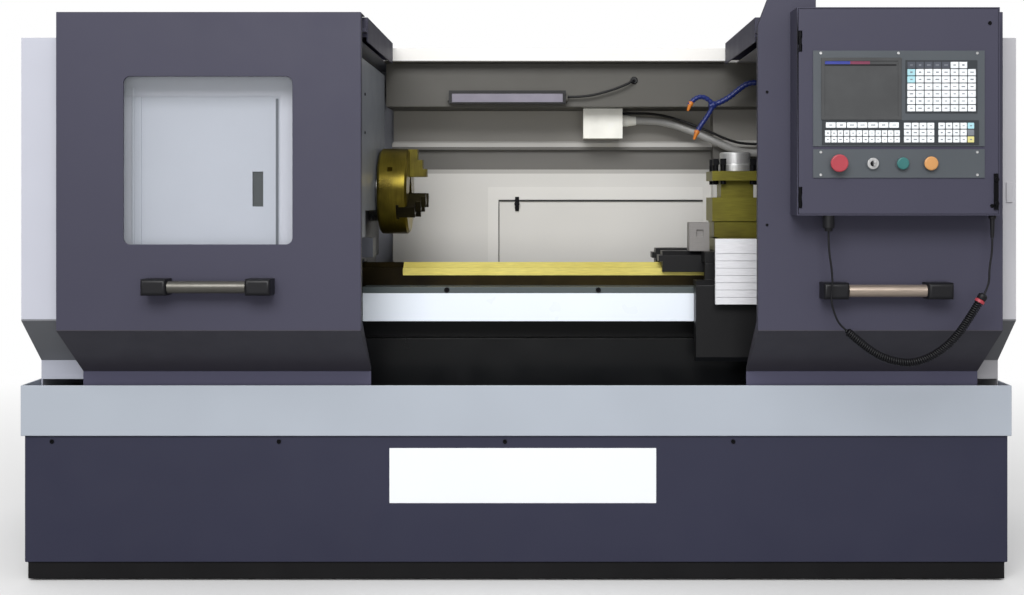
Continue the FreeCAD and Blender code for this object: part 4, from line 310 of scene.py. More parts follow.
@dataclass(frozen=True)
class OiledMetal(Finish):
    """Ground or turned steel under amber preserving oil: bright grinding lines below uneven yellow patches.

    The real lines are about 0.2 mm apart; they are drawn at 2 mm, so that they show.
    """

    oil: str = "#6b5c1c"
    run: Run = Run.ALONG_BED
    line: float = 2.0
    line_depth: float = 0.03
    line_tone: Pair = (0.86, 1.1)
    patch: float = 70.0
    patch_edge: Pair = (0.35, 0.68)
    dry_roughness: float = 0.1

    def dress(self, tree: Tree, shader: Node, spot: Socket) -> None:
        """Lay the oil's patches over the grinding lines.

        Args:
            tree: the material's tree.
            shader: its shader.
            spot: the place on the piece.
        """
        cloud = add(tree, "ShaderNodeTexNoise", lumps(spot, self.patch, detail=3.0)).outputs[0]
        oiled = add(tree, "ShaderNodeMapRange", Swing(cloud, 0.0, 1.0, *self.patch_edge).inputs()).outputs[0]
        film = add(tree, "ShaderNodeMix", {0: oiled, 6: linear(self.colour), 7: linear(self.oil)},
                   data_type="RGBA")
        drawn = add(tree, "ShaderNodeMapping", {"Vector": spot, "Scale": self.run.value}).outputs[0]
        lines = add(tree, "ShaderNodeTexNoise", lumps(drawn, self.line)).outputs[0]
        self.surface(tree, shader, film.outputs[2], Swing(lines, *self.line_tone), lines, self.line_depth,
                     Swing(oiled, self.roughness + self.dry_roughness, self.roughness, 0.0, 1.0))


@dataclass(frozen=True)
class GroundMetal(Finish):
    """Machined metal with fine lines one way, which draw a highlight out across them.

    The real lines are about 0.2 mm apart; they are drawn at 1.8 mm, so that they show.
    """

    run: Run = Run.ALONG_BED
    line: float = 1.8
    line_depth: float = 0.02
    line_tone: Pair = (0.9, 1.06)
    line_gloss: Pair = (-0.06, 0.08)

    def dress(self, tree: Tree, shader: Node, spot: Socket) -> None:
        """Draw the tool's lines, in tone, gloss and relief.

        Args:
            tree: the material's tree.
            shader: its shader.
            spot: the place on the piece.
        """
        drawn = add(tree, "ShaderNodeMapping", {"Vector": spot, "Scale": self.run.value}).outputs[0]
        lines = add(tree, "ShaderNodeTexNoise", lumps(drawn, self.line, detail=3.0)).outputs[0]
        smooth, rough = (self.roughness + change for change in self.line_gloss)
        self.surface(tree, shader, linear(self.colour), Swing(lines, *self.line_tone), lines, self.line_depth,
                     Swing(lines, smooth, rough))


@dataclass(frozen=True)
class CastMetal(Finish):
    """Enamelled iron casting: dark satin paint over the soft lumps of a sand mould, 11 mm apart."""

    lump: float = 11.0
    lump_depth: float = 0.25
    cloud: float = 120.0
    cloud_tone: Pair = (0.85, 1.15)

    def dress(self, tree: Tree, shader: Node, spot: Socket) -> None:
        """Lay the paint over the mould's lumps.

        Args:
            tree: the material's tree.
            shader: its shader.
            spot: the place on the piece.
        """
        cloud = add(tree, "ShaderNodeTexNoise", lumps(spot, self.cloud)).outputs[0]
        mould = add(tree, "ShaderNodeTexNoise", lumps(spot, self.lump, detail=3.0)).outputs[0]
        self.surface(tree, shader, linear(self.colour), Swing(cloud, *self.cloud_tone), mould,
                     self.lump_depth)


@dataclass(frozen=True)
class Moulded(Finish):
    """Injection-moulded plastic or rubber with a fine spark-eroded grain.

    The real grain is about 0.3 mm; it is drawn at 2.5 mm, so that it shows.
    """

    pit: float = 2.5
    pit_depth: float = 0.04
    cloud: float = 50.0
    cloud_tone: Pair = (0.93, 1.07)

    def dress(self, tree: Tree, shader: Node, spot: Socket) -> None:
        """Pit the surface and let its tone wander a little.

        Args:
            tree: the material's tree.
            shader: its shader.
            spot: the place on the piece.
        """
        cloud = add(tree, "ShaderNodeTexNoise", lumps(spot, self.cloud)).outputs[0]
        pits = add(tree, "ShaderNodeTexNoise", lumps(spot, self.pit, detail=1.0)).outputs[0]
        self.surface(tree, shader, linear(self.colour), Swing(cloud, *self.cloud_tone), pits, self.pit_depth)


@dataclass(frozen=True)
class Glazing(Finish):
    """A clear sheet: mostly see-through, with smooth gloss and the faintest waves, 250 mm long."""

    alpha: float = 0.05
    wave: float = 250.0
    wave_depth: float = 0.4

    def dress(self, tree: Tree, shader: Node, spot: Socket) -> None:
        """Let the sheet be seen through and give it its slight waves.

        Args:
            tree: the material's tree.
            shader: its shader.
            spot: the place on the piece.
        """
        shader.inputs["Alpha"].default_value = self.alpha
        waves = add(tree, "ShaderNodeTexNoise", lumps(spot, self.wave, detail=0.0)).outputs[0]
        bump = add(tree, "ShaderNodeBump",
                   {"Height": waves, "Distance": self.wave_depth / 1000, "Strength": 1.0})
        tree.links.new(bump.outputs[0], shader.inputs["Normal"])


# Doors, hoods and control box: satin violet-grey that mirrors little. Low on the doors, the slant and the
# flange under it are painted lighter, as painted light against the shade that falls there.
SLATE = PowderCoat("slate_powder_coat", "#4f4e63", "slate_paint", 0.55, ior=1.4,
                   bands=((0.537, "#434149"), (0.660, "#3f3e4e")))
# The cabinet: the doors' coat, painted deep blue-black as painted shade under the tray, over a toe kick that
# is nearly black.
CABINET = PowderCoat("cabinet_powder_coat", "#08070a", "slate_paint", 0.5, bands=((0.049, "#2c2d41"),))
# The tray's front: a pale blue-grey band that parts the dark cabinet from the doors.
TRAY_GREY = PowderCoat("tray_band_enamel", "#abb2bc", "grey_paint", 0.45)
# The front of the left end guard: cool pale grey, with painted shade on the slant low down and a slightly
# darker foot below it.
GUARD_PALE = PowderCoat("end_guard_powder_coat", "#a8abb7", "pale_paint", 0.45,
                        bands=((0.562, "#74767b"), (0.677, "#bcbec9")))
# The front of the right end guard: the same coat, painted warmer and greyer as painted light, with painted
# shade on its slant.
GUARD_RIGHT = PowderCoat("right_guard_powder_coat", "#9f9ea2", "pale_paint", 0.45,
                         bands=((0.562, "#6d6e72"), (0.677, "#bab9be")))
# The sides and backs of the end guards: one even pale tone from top to foot, the right ones in the same
# warmer painted light as the right front.
GUARD_PLAIN = PowderCoat("end_guard_side_coat", "#b4b6c1", "pale_paint", 0.45)
GUARD_PLAIN_RIGHT = PowderCoat("right_guard_side_coat", "#bab9be", "pale_paint", 0.45)
# The service door: cool pale grey that looks even and a little glossy behind the window.
SERVICE_PALE = PowderCoat("service_door_powder_coat", "#afb3be", "pale_paint", 0.42)
# The rear wall: one warm white enamel with painted light and shade by height: a painted shadow under the
# ledge with a soft lower edge, the ledge, painted shade on the recess and deeper painted shade on the lamp
# panel under the roof, and the beam on top painted lighter.
REAR_WHITE = PowderCoat("rear_wall_enamel", "#d8d6d2", "white_paint", 0.5,
                        bands=((1.058, "#b3b1ad"), (1.0735, "#6a6864"), (1.138, "#c4c2be"),
                               (1.160, "#9a9791"), (1.255, "#56544f"), (1.384, "#f2f0ec")))
# The electrics housing behind the wall: one even warm white.
HOUSING_WHITE = PowderCoat("rear_housing_enamel", "#d8d6d2", "white_paint", 0.5)
# The pressed border of the access panel: the wall's enamel, painted a shade lighter as painted light on its
# raised step.
BORDER_WHITE = PowderCoat("pressed_border_enamel", "#e0deda", "white_paint", 0.45)
# The bare label plate: flat white with hardly any drift, the brightest place on the front.
LABEL_WHITE = PowderCoat("label_plate_enamel", "#eef1f4", "white_paint", 0.4, drift_share=0.01)
# The spindle guard: mid blue-grey, between the dark door and the pale wall.
PANEL_GREY = PowderCoat("spindle_guard_powder_coat", "#757a83", "grey_paint", 0.42)
# The plates round screen and buttons: dark grey lacquer with a finer peel than the sheet metal.
PLATE_GREY = PowderCoat("control_plate_lacquer", "#4d5257", "grey_paint", 0.4, peel=4.0)
# The cover over the long screw: a glossy white face between a black skirt and a dark grey top.
COVER_WHITE = PowderCoat("screw_cover_enamel", "#040507", "white_paint", 0.32,
                         bands=((0.656, "#e9f0f9"), (0.729, "#4d5556")))
# The slats over the cross slide: silver-white sheet whose brushed lines soften every highlight.
SLAT_WHITE = GroundMetal("brushed_slat_aluminium", "#e4e4e8", "bright_aluminium", 0.38, 0.1)
# Bed, saddle, apron and feed motor: near-black paint with soft uneven glints.
DARK_ENAMEL = CastMetal("dark_casting_enamel", "#060609", "dark_paint", 0.45)
# Headstock, tailstock and bracket: dark grey paint, light enough to show the lumps.
GREY_ENAMEL = CastMetal("grey_casting_enamel", "#3d3f46", "dark_paint", 0.45)
# The main motor: plain dark grey, duller than the machine's own castings.
MOTOR_IRON = CastMetal("motor_casting_enamel", "#35373b", "cast_iron", 0.5)
# The tops of the ways: bright straw yellow under fresh oil, in long streaks along the bed.
BED_WAY = OiledMetal("ground_way_under_oil", "#e6d97c", "oiled_iron", 0.45, 0.35, oil="#d2c262", patch=300.0)
# The sides of the ways and their tops under the chuck: oiled steel painted dark brown, as painted shade under
# the ways' edges and in the chuck's shadow.
WAY_SHADE = OiledMetal("way_edge_oil_painted_shade", "#3f3519", "oiled_iron", 0.3, 0.8, oil="#221c12", patch=200.0)
# The chuck's body: turned steel that the oil tints like brass, with rings and darker patches.
CHUCK_STEEL = OiledMetal("turned_chuck_under_oil", "#9d8c34", "oiled_steel", 0.26, 0.9, oil="#5d5120",
                         run=Run.ROUND_SPINDLE, patch=120.0)
# The top jaw: the jaws' oiled steel, painted yellow like the chuck as painted light where the lamp falls on
# it, with upright lines.
JAW_LIT = OiledMetal("top_jaw_oil_painted_light", "#857a2c", "oiled_steel", 0.35, 0.7, oil="#5a5020",
                       run=Run.UPRIGHT)
# The lower jaws: the same oiled steel, painted nearly black-brown as painted shade under the chuck.
JAW_SHADED = OiledMetal("lower_jaw_oil_painted_shade", "#3f3a24", "oiled_steel", 0.35, 0.8, oil="#1f1a10",
                       run=Run.UPRIGHT)
# Cross slide and turret: ground iron in a flat olive yellow.
TURRET_IRON = OiledMetal("turret_iron_under_oil", "#827c2b", "oiled_iron", 0.4, 0.55, oil="#645e22",
                         patch=160.0)
# Spindle and quill: clean bright steel with ring-shaped highlights.
SPINDLE_STEEL = GroundMetal("ground_spindle_steel", "#b9b8b4", "oiled_steel", 0.28, 1.0,
                            run=Run.ROUND_SPINDLE)
# The feed screws: bright steel, a little cooler than the spindle.
SCREW_STEEL = GroundMetal("ground_screw_steel", "#bdbdc0", "ground_steel", 0.26, 1.0, run=Run.ROUND_SPINDLE)
# The turret's cap: satin silver with a broad upright highlight.
CAP_STEEL = GroundMetal("turned_cap_steel", "#ececec", "ground_steel", 0.36, 0.8, run=Run.UPRIGHT)
# The key switch and the screws round it: plated, as silvery as the cap.
PLATED_STEEL = GroundMetal("plated_steel", "#ececec", "ground_steel", 0.36, 0.8, run=Run.UPRIGHT)
# The left handle's tube: brushed aluminium like the right one, painted darker grey as painted shade, with one
# long highlight.
LEFT_TUBE_SHADE = GroundMetal("left_handle_tube_painted_shade", "#77756f", "bright_aluminium", 0.4, 0.85)
# The right handle's tube: the same aluminium, a little smoother, painted warm and light as a painted
# reflection of the room's light.
RIGHT_TUBE_REFLECTION = GroundMetal("right_handle_tube_painted_reflection", "#cdbcad", "bright_aluminium", 0.34, 0.8)
# The motor's pulley: bare turned aluminium, light and cool.
BRIGHT_ALLOY = GroundMetal("turned_aluminium", "#c8c9cb", "bright_aluminium", 0.34, 1.0)
# The limit switch's box: dull die-cast grey, hardly metallic to the eye.
SWITCH_ALLOY = GroundMetal("switch_box_alloy", "#8f8c8a", "bright_aluminium", 0.5, 0.4)
# Screws, latches, bolts and pipe: black that glints grey along its edges.
BLACK_OXIDE = GroundMetal("black_oxide_steel", "#17171a", "black_steel", 0.38, 0.75)
# Grips, sockets and lamp housing: deep matt black, with a soft sheen on rounded edges.
BLACK_PLASTIC = Moulded("black_nylon_moulding", "#101014", "black_plastic", 0.45)
# The junction box: warm white, the lightest thing on the wall.
BOX_PLASTIC = Moulded("junction_box_polycarbonate", "#fbfaf2", "white_paint", 0.45)
# The conduit: mid-grey vinyl with a wet-looking line of light.
CONDUIT_GREY = Moulded("conduit_vinyl", "#a9a8a6", "cable_sheath", 0.35, pit=6.0)
# Cables and curly cord: black rubber, dull but for a thin line of light on each curl.
SHEATH_BLACK = Moulded("cable_sheath_rubber", "#0c0c10", "cable_sheath", 0.5)
# The access panel's joint: a thin black strip, laid in as the painted shadow in the gap.
JOINT_SHADOW = Moulded("access_joint_painted_shadow", "#0c0c10", "cable_sheath", 0.5)
# The service door's seal: a dark grey upright line beside the pull.
DOOR_RUBBER = Moulded("service_seal_rubber", "#4b4f58", "cable_sheath", 0.4)
# The feet's pads: matt black, without a highlight.
FOOT_RUBBER = Moulded("foot_rubber", "#131314", "foot_rubber", 0.8)
# The drive belt: matt black, a little smoother than the feet.
BELT_RUBBER = Moulded("drive_belt_rubber", "#141416", "belt_rubber", 0.75)
# The jointed hose: deep blue, with a small highlight on every link.
HOSE_BLUE = Moulded("hose_acetal_blue", "#1d2b6b", "blue_plastic", 0.35)
# The hose's nozzles: orange, the one warm spot before the wall.
NOZZLE_ORANGE = Moulded("nozzle_acetal_orange", "#c9772c", "orange_plastic", 0.38)
# Emergency stop: signal red, a little glossy.
BUTTON_RED = Moulded("emergency_button_red", "#a43d47", "red_plastic", 0.35)
# The ring on the cord's end cap: the same red on a small sleeve.
RING_RED = Moulded("cord_ring_red", "#a43d47", "red_plastic", 0.35)
# Start: blue-green.
BUTTON_GREEN = Moulded("start_button_green", "#356e6c", "green_plastic", 0.35)
# Stop: pale orange.
BUTTON_ORANGE = Moulded("stop_button_orange", "#c08c56", "orange_plastic", 0.35)
# Key caps: printed film, cool white with a few coloured ones, brighter than all round them.
KEY_WHITE = Moulded("key_film_white", "#e9edf0", "key_plastic", 0.4)
KEY_CYAN = Moulded("key_film_cyan", "#a6d3dc", "key_plastic", 0.4)
KEY_YELLOW = Moulded("key_film_yellow", "#dcd58e", "key_plastic", 0.4)
KEY_DARK = Moulded("key_film_dark", "#4b4f58", "key_plastic", 0.4)
# The film between the keys: dark grey, so that each key stands alone.
PAD_DARK = Moulded("key_surround_film", "#33373b", "key_plastic", 0.4)
# The marks on the keys and the one grey key: mid grey print.
MARK_GREY = Moulded("printed_mark_grey", "#787d84", "key_plastic", 0.5)
# The screen: smooth dark acrylic, with slow waves and no grain, that mirrors a little of the room.
SCREEN_GREY = Moulded("display_front_acrylic", "#4b4c4d", "screen_glass", 0.16, pit=200.0)
# The strip along the screen's top: a blue stretch, a dull red one and a black line below them.
STRIP_BLUE = Moulded("display_strip_blue", "#3d4692", "screen_glass", 0.25)
STRIP_RED = Moulded("display_strip_red", "#7c3f55", "screen_glass", 0.25)
STRIP_BLACK = Moulded("display_strip_black", "#0c0c10", "screen_glass", 0.5)
# The left door's pane: so clear that only its glints tell that it is there.
WINDOW_PANE = Glazing("door_pane_polycarbonate", "#c9d3d6", "window_glass", 0.05)
# The lamp's diffuser, switched off: grey-violet, smooth and a little milky.
LAMP_OPAL = Moulded("lamp_opal_acrylic", "#827e8b", "lens", 0.3, pit=20.0)


# --- mesh helpers ----------------------------------------------------------------------------


def as_object(name: str, data: bpy.types.ID) -> Object:
    """Put a mesh, curve, lamp or camera into the scene.

    Args:
        name: the object's name.
        data: what it shows.

    Returns:
        The object, at the origin.
    """
    piece = bpy.data.objects.new(name, data)
    bpy.context.scene.collection.objects.link(piece)
    return piece


def crease(mesh: bpy.types.Mesh) -> None:
    """Shade a mesh smooth, with its sharp corners kept."""
    mesh.polygons.foreach_set("use_smooth", [True] * len(mesh.polygons))
    mesh.set_sharp_from_angle(angle=CREASE_ANGLE)


def applied(piece: Object) -> Object:
    """Turn an object and its modifiers into a plain mesh object of the same name.

    Args:
        piece: the object with modifiers.

    Returns:
        A new object of that name, with the result as its mesh and no modifier.
    """
    ready = piece.evaluated_get(bpy.context.evaluated_depsgraph_get())
    mesh = bpy.data.meshes.new_from_object(ready)
    name = piece.name
    bpy.data.objects.remove(piece)
    return as_object(name, mesh)


def painted(piece: Object, finish: Finish) -> Object:
    """Give a whole piece one finish.

    Args:
        piece: the piece.
        finish: the finish, in place of any that it has.

    Returns:
        The same piece.
    """
    piece.data.materials.clear()
    piece.data.materials.append(finish.material())
    return piece


def wear(node: str, finish: Finish) -> None:
    """Give a CAD node that stays in view its finish."""
    painted(frame["nodes"][node], finish)
    log.info("%s wears %s", node, finish.name)


def settle(piece: Object, body: str, slot: str, *nodes: str) -> Object:
    """Let a finished piece ride on its body and stand for its CAD nodes.

    Args:
        piece: the finished piece.
        body: the CAD body that it moves with.
        slot: the record's material slot; it is not used.
        nodes: the CAD nodes that it replaces.

    Returns:
        The same piece.
    """
    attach(piece, body)
    if nodes:
        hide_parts(*nodes)
    log.info("%s rides on %s", piece.name, body)
    return piece


def body_of(node: str) -> str:
    """The name of the body that a CAD node moves with."""
    return frame["nodes"][node]["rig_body"]


def from_shape(name: str, shape: bmesh.types.BMesh) -> Object:
    """Put a closed bmesh into the scene, facing outwards and with creased shading.

    Args:
        name: the piece's name.
        shape: the bmesh, which is used up.

    Returns:
        The piece, without a finish.
    """
    bmesh.ops.recalc_face_normals(shape, faces=shape.faces)
    mesh = bpy.data.meshes.new(name)
    shape.to_mesh(mesh)
    shape.free()
    crease(mesh)
    return as_object(name, mesh)


@dataclass(frozen=True)
class Skin:
    """What the finished form of a CAD node is made of and how its edges are broken.

    Edge is the width of the broken edges and flats is how many flats each one has. Seams are
    planes, as a point and a direction, that divide the node's flats where its finish changes.
    """

    node: str
    finish: Finish
    edge: float = 0.0012
    flats: int = 2
    seams: tuple[tuple[Point, Point], ...] = ()


def finished(skin: Skin) -> Object:
    """Make the finished form of a CAD node: welded, its flats whole and its edges broken.

    Args:
        skin: the node, its finish and its edges.

    Returns:
        The finished piece, riding on the node's body.
    """
    mesh = frame["nodes"][skin.node].data.copy()
    for attribute in [a for a in mesh.attributes if a.name == "custom_normal"]:
        mesh.attributes.remove(attribute)
    shape = bmesh.new()
    shape.from_mesh(mesh)
    bmesh.ops.remove_doubles(shape, verts=shape.verts, dist=WELD)
    bmesh.ops.dissolve_limit(shape, angle_limit=FLAT_ANGLE, verts=shape.verts, edges=shape.edges)
    for point, way in skin.seams:
        bmesh.ops.bisect_plane(shape, geom=[*shape.verts, *shape.edges, *shape.faces], dist=SEAM_SLACK,
                               plane_co=point, plane_no=way)
    shape.to_mesh(mesh)
    shape.free()
    piece = as_object(f"{skin.node}_finished", mesh)
    bevel = piece.modifiers.new("broken_edges", "BEVEL")
    bevel.width = skin.edge
    bevel.segments = skin.flats
    bevel.limit_method = "ANGLE"
    bevel.angle_limit = BROKEN_ANGLE
    crease(mesh)
    weighted = piece.modifiers.new("flat_faces_first", "WEIGHTED_NORMAL")
    weighted.keep_sharp = False
    weighted.weight = FLAT_WEIGHT
    piece = painted(applied(piece), skin.finish)
    return settle(piece, body_of(skin.node), skin.finish.slot, skin.node)


def clothed(skins: Sequence[Skin]) -> dict[str, Object]:
    """Make the finished forms of several CAD nodes, in order.

    Args:
        skins: what each node wears.

    Returns:
        Each node's name and its finished piece.
    """
    return {skin.node: finished(skin) for skin in skins}


def within(x: Pair = (-FAR, FAR), y: Pair = (-FAR, FAR), z: Pair = (-FAR, FAR)) -> Box:
    """The lowest and highest corner of a box with the given limits, past every piece where none is given."""
    return (x[0], y[0], z[0]), (x[1], y[1], z[1])


def repaint(piece: Object, finish: Finish, box: Box, keeps_front: bool = False) -> None:
    """Give the faces whose middles lie in a box another finish.

    Args:
        piece: the piece to repaint.
        finish: the finish for those faces.
        box: the box's lowest and highest corner.
        keeps_front: whether faces that look to the operator keep their finish.
    """
    piece.data.materials.append(finish.material())
    index = len(piece.data.materials) - 1
    for face in piece.data.polygons:
        if keeps_front and face.normal.y < TO_OPERATOR:
            continue
        if all(low <= middle <= high for low, middle, high in zip(box[0], face.center, box[1])):
            face.material_index = index


def plate(name: str, finish: Finish, low: Point, high: Point, edge: float = 0.0006) -> Object:
    """A flat plate with broken edges.

    Args:
        name: the plate's name.
        finish: what it is made of.
        low: its lowest corner.
        high: its highest corner.
        edge: the width of its broken edges, where it is thick enough for that.

    Returns:
        The plate.
    """
    shape = bmesh.new()
    middle = (Vector(low) + Vector(high)) / 2
    sizes = Vector(high) - Vector(low)
    bmesh.ops.create_cube(shape, size=1.0, matrix=Matrix.LocRotScale(middle, None, sizes))
    broken = min(edge, min(sizes) * THIN_SHARE)
    bmesh.ops.bevel(shape, geom=shape.edges[:], offset=broken, segments=2, affect="EDGES")
    return painted(from_shape(name, shape), finish)


def turned(name: str, finish: Finish, outline: Sequence[Pair], start: Point | Vector, way: Point | Vector,
           sides: int = 36) -> Object:
    """A turned piece: an outline spun about a line.

    Args:
        name: the piece's name.
        finish: what it is made of.
        outline: pairs of distance along the line and radius, from one end to the other.
        start: where the line starts.
        way: the line's direction.
        sides: how many facets go round.

    Returns:
        The closed piece.
    """
    turn = Vector((0, 0, 1)).rotation_difference(Vector(way)).to_matrix()
    shape = bmesh.new()
    rings = []
    for along, radius in outline:
        corners = [(radius * math.cos(math.tau * i / sides), radius * math.sin(math.tau * i / sides), along)
                   for i in range(sides)]
        rings.append([shape.verts.new(Vector(start) + turn @ Vector(corner)) for corner in corners])
    for one, two in zip(rings, rings[1:]):
        for i in range(sides):
            shape.faces.new((one[i], one[(i + 1) % sides], two[(i + 1) % sides], two[i]))
    shape.faces.new(rings[0])
    shape.faces.new(rings[-1])
    return painted(from_shape(name, shape), finish)


def joined(name: str, parts: Sequence[Object]) -> Object:
    """Join several mesh objects, with their finishes, into one piece.

    Args:
        name: the piece's name.
        parts: the objects, which are used up.

    Returns:
        The piece.
    """
    mesh = bpy.data.meshes.new(name)
    finishes: list[bpy.types.Material] = []
    whole = bmesh.new()
    for part in parts:
        offset = len(finishes)
        finishes += list(part.data.materials)
        before = len(whole.faces)
        whole.from_mesh(part.data)
        whole.faces.ensure_lookup_table()
        for face in whole.faces[before:]:
            face.material_index += offset
        bpy.data.objects.remove(part)
    whole.to_mesh(mesh)
    whole.free()
    for material in finishes:
        mesh.materials.append(material)
    crease(mesh)
    return as_object(name, mesh)


# --- Geometry Nodes trees --------------------------------------------------------------------


class RepeatTree:
    """A Geometry Nodes tree that repeats a small form, with named inputs for its sizes."""

    def __init__(self, name: str, inputs: dict[str, str]) -> None:
        """Start the tree.

        Args:
            name: the tree's name.
            inputs: input name to socket type, after the geometry that comes in first.
        """
        self.tree = bpy.data.node_groups.new(name, "GeometryNodeTree")
        face = self.tree.interface
        face.new_socket("Geometry", in_out="INPUT", socket_type="NodeSocketGeometry")
        self.sockets = {label: face.new_socket(label, in_out="INPUT", socket_type=kind)
                        for label, kind in inputs.items()}
        face.new_socket("Geometry", in_out="OUTPUT", socket_type="NodeSocketGeometry")
        self.source = add(self.tree, "NodeGroupInput").outputs

    def node(self, kind: str, inputs: dict[Any, Any] | None = None, **settings: Any) -> Node:
        """Add one node to the tree."""
        return add(self.tree, kind, inputs, **settings)

    def end(self, instances: Socket, finish: Socket) -> Socket:
        """Make the repeats real and give them their finish.

        Args:
            instances: the repeats.
            finish: the material that they get.

        Returns:
            The repeats as real geometry.
        """
        real = self.node("GeometryNodeRealizeInstances", {0: instances})
        return self.node("GeometryNodeSetMaterial",
                         {"Geometry": real.outputs[0], "Material": finish}).outputs[0]

    def run(self, piece: Object, **values: Any) -> Object:
        """Run the tree on a piece and keep the result as a plain mesh.

        Args:
            piece: the object that it works on.
            values: input name to value.

        Returns:
            The plain mesh object.
        """
        modifier = piece.modifiers.new("repeat", "NODES")
        modifier.node_group = self.tree
        for label, value in values.items():
            modifier[self.sockets[label].identifier] = value
        piece = applied(piece)
        crease(piece.data)
        return piece


class ScrewHeads(RepeatTree):
    """Socket-head screws, one on each point of a mesh of points."""

    SIDES = 24
    SOCKET_SHARE = 0.55
    SOCKET_DEEP = -0.6
    MERGE = 1e-5

    def __init__(self) -> None:
        """Build a disc, raise it, then sink a round socket into its top."""
        super().__init__("screw_heads", {"Radius": "NodeSocketFloat", "Height": "NodeSocketFloat",
                                         "Turn": "NodeSocketVector", "Finish": "NodeSocketMaterial"})
        height = self.source["Height"]
        disc = self.node("GeometryNodeMeshCircle", {"Vertices": self.SIDES, "Radius": self.source["Radius"]},
                         fill_type="NGON").outputs[0]
        under = self.node("GeometryNodeFlipFaces", {0: disc})
        raised = self.node("GeometryNodeExtrudeMesh", {"Mesh": disc, "Offset Scale": height}).outputs
        rim = self.node("GeometryNodeExtrudeMesh", {"Mesh": raised["Mesh"], "Selection": raised["Top"],
                                                    "Offset Scale": 0.0}).outputs
        drawn = self.node("GeometryNodeScaleElements", {"Geometry": rim["Mesh"], "Selection": rim["Top"],
                                                        "Scale": self.SOCKET_SHARE})
        sunk = self.node("ShaderNodeMath", {0: height, 1: self.SOCKET_DEEP}, operation="MULTIPLY")
        socket = self.node("GeometryNodeExtrudeMesh", {"Mesh": drawn.outputs[0], "Selection": rim["Top"],
                                                       "Offset Scale": sunk.outputs[0]})
        both = self.node("GeometryNodeJoinGeometry", {0: [socket.outputs["Mesh"], under.outputs[0]]})
        head = self.node("GeometryNodeMergeByDistance", {"Geometry": both.outputs[0], "Distance": self.MERGE})
        spread = self.node("GeometryNodeInstanceOnPoints",
                           {"Points": self.source["Geometry"], "Instance": head.outputs[0],
                            "Rotation": self.source["Turn"]})
        self.node("NodeGroupOutput", {0: self.end(spread.outputs[0], self.source["Finish"])})

    def scatter(self, name: str, head: Head, spots: Iterable[Point], body: str, facing: Facing = Facing.FRONT,
                finish: Finish = BLACK_OXIDE) -> Object:
        """Set screws of one kind at the given places.

        Args:
            name: the piece's name.
            head: the kind of screw.
            spots: where each head stands.
            body: the CAD body that they move with.
            facing: the way that the heads look.
            finish: what they are made of.

        Returns:
            The screws as one piece, riding on the body.
        """
        mesh = bpy.data.meshes.new(name)
        mesh.from_pydata([Vector(spot) for spot in spots], [], [])
        radius, height = head.value
        screws = self.run(as_object(name, mesh), Radius=radius, Height=height, Turn=facing.value,
                          Finish=finish.material())
        return settle(screws, body, finish.slot)


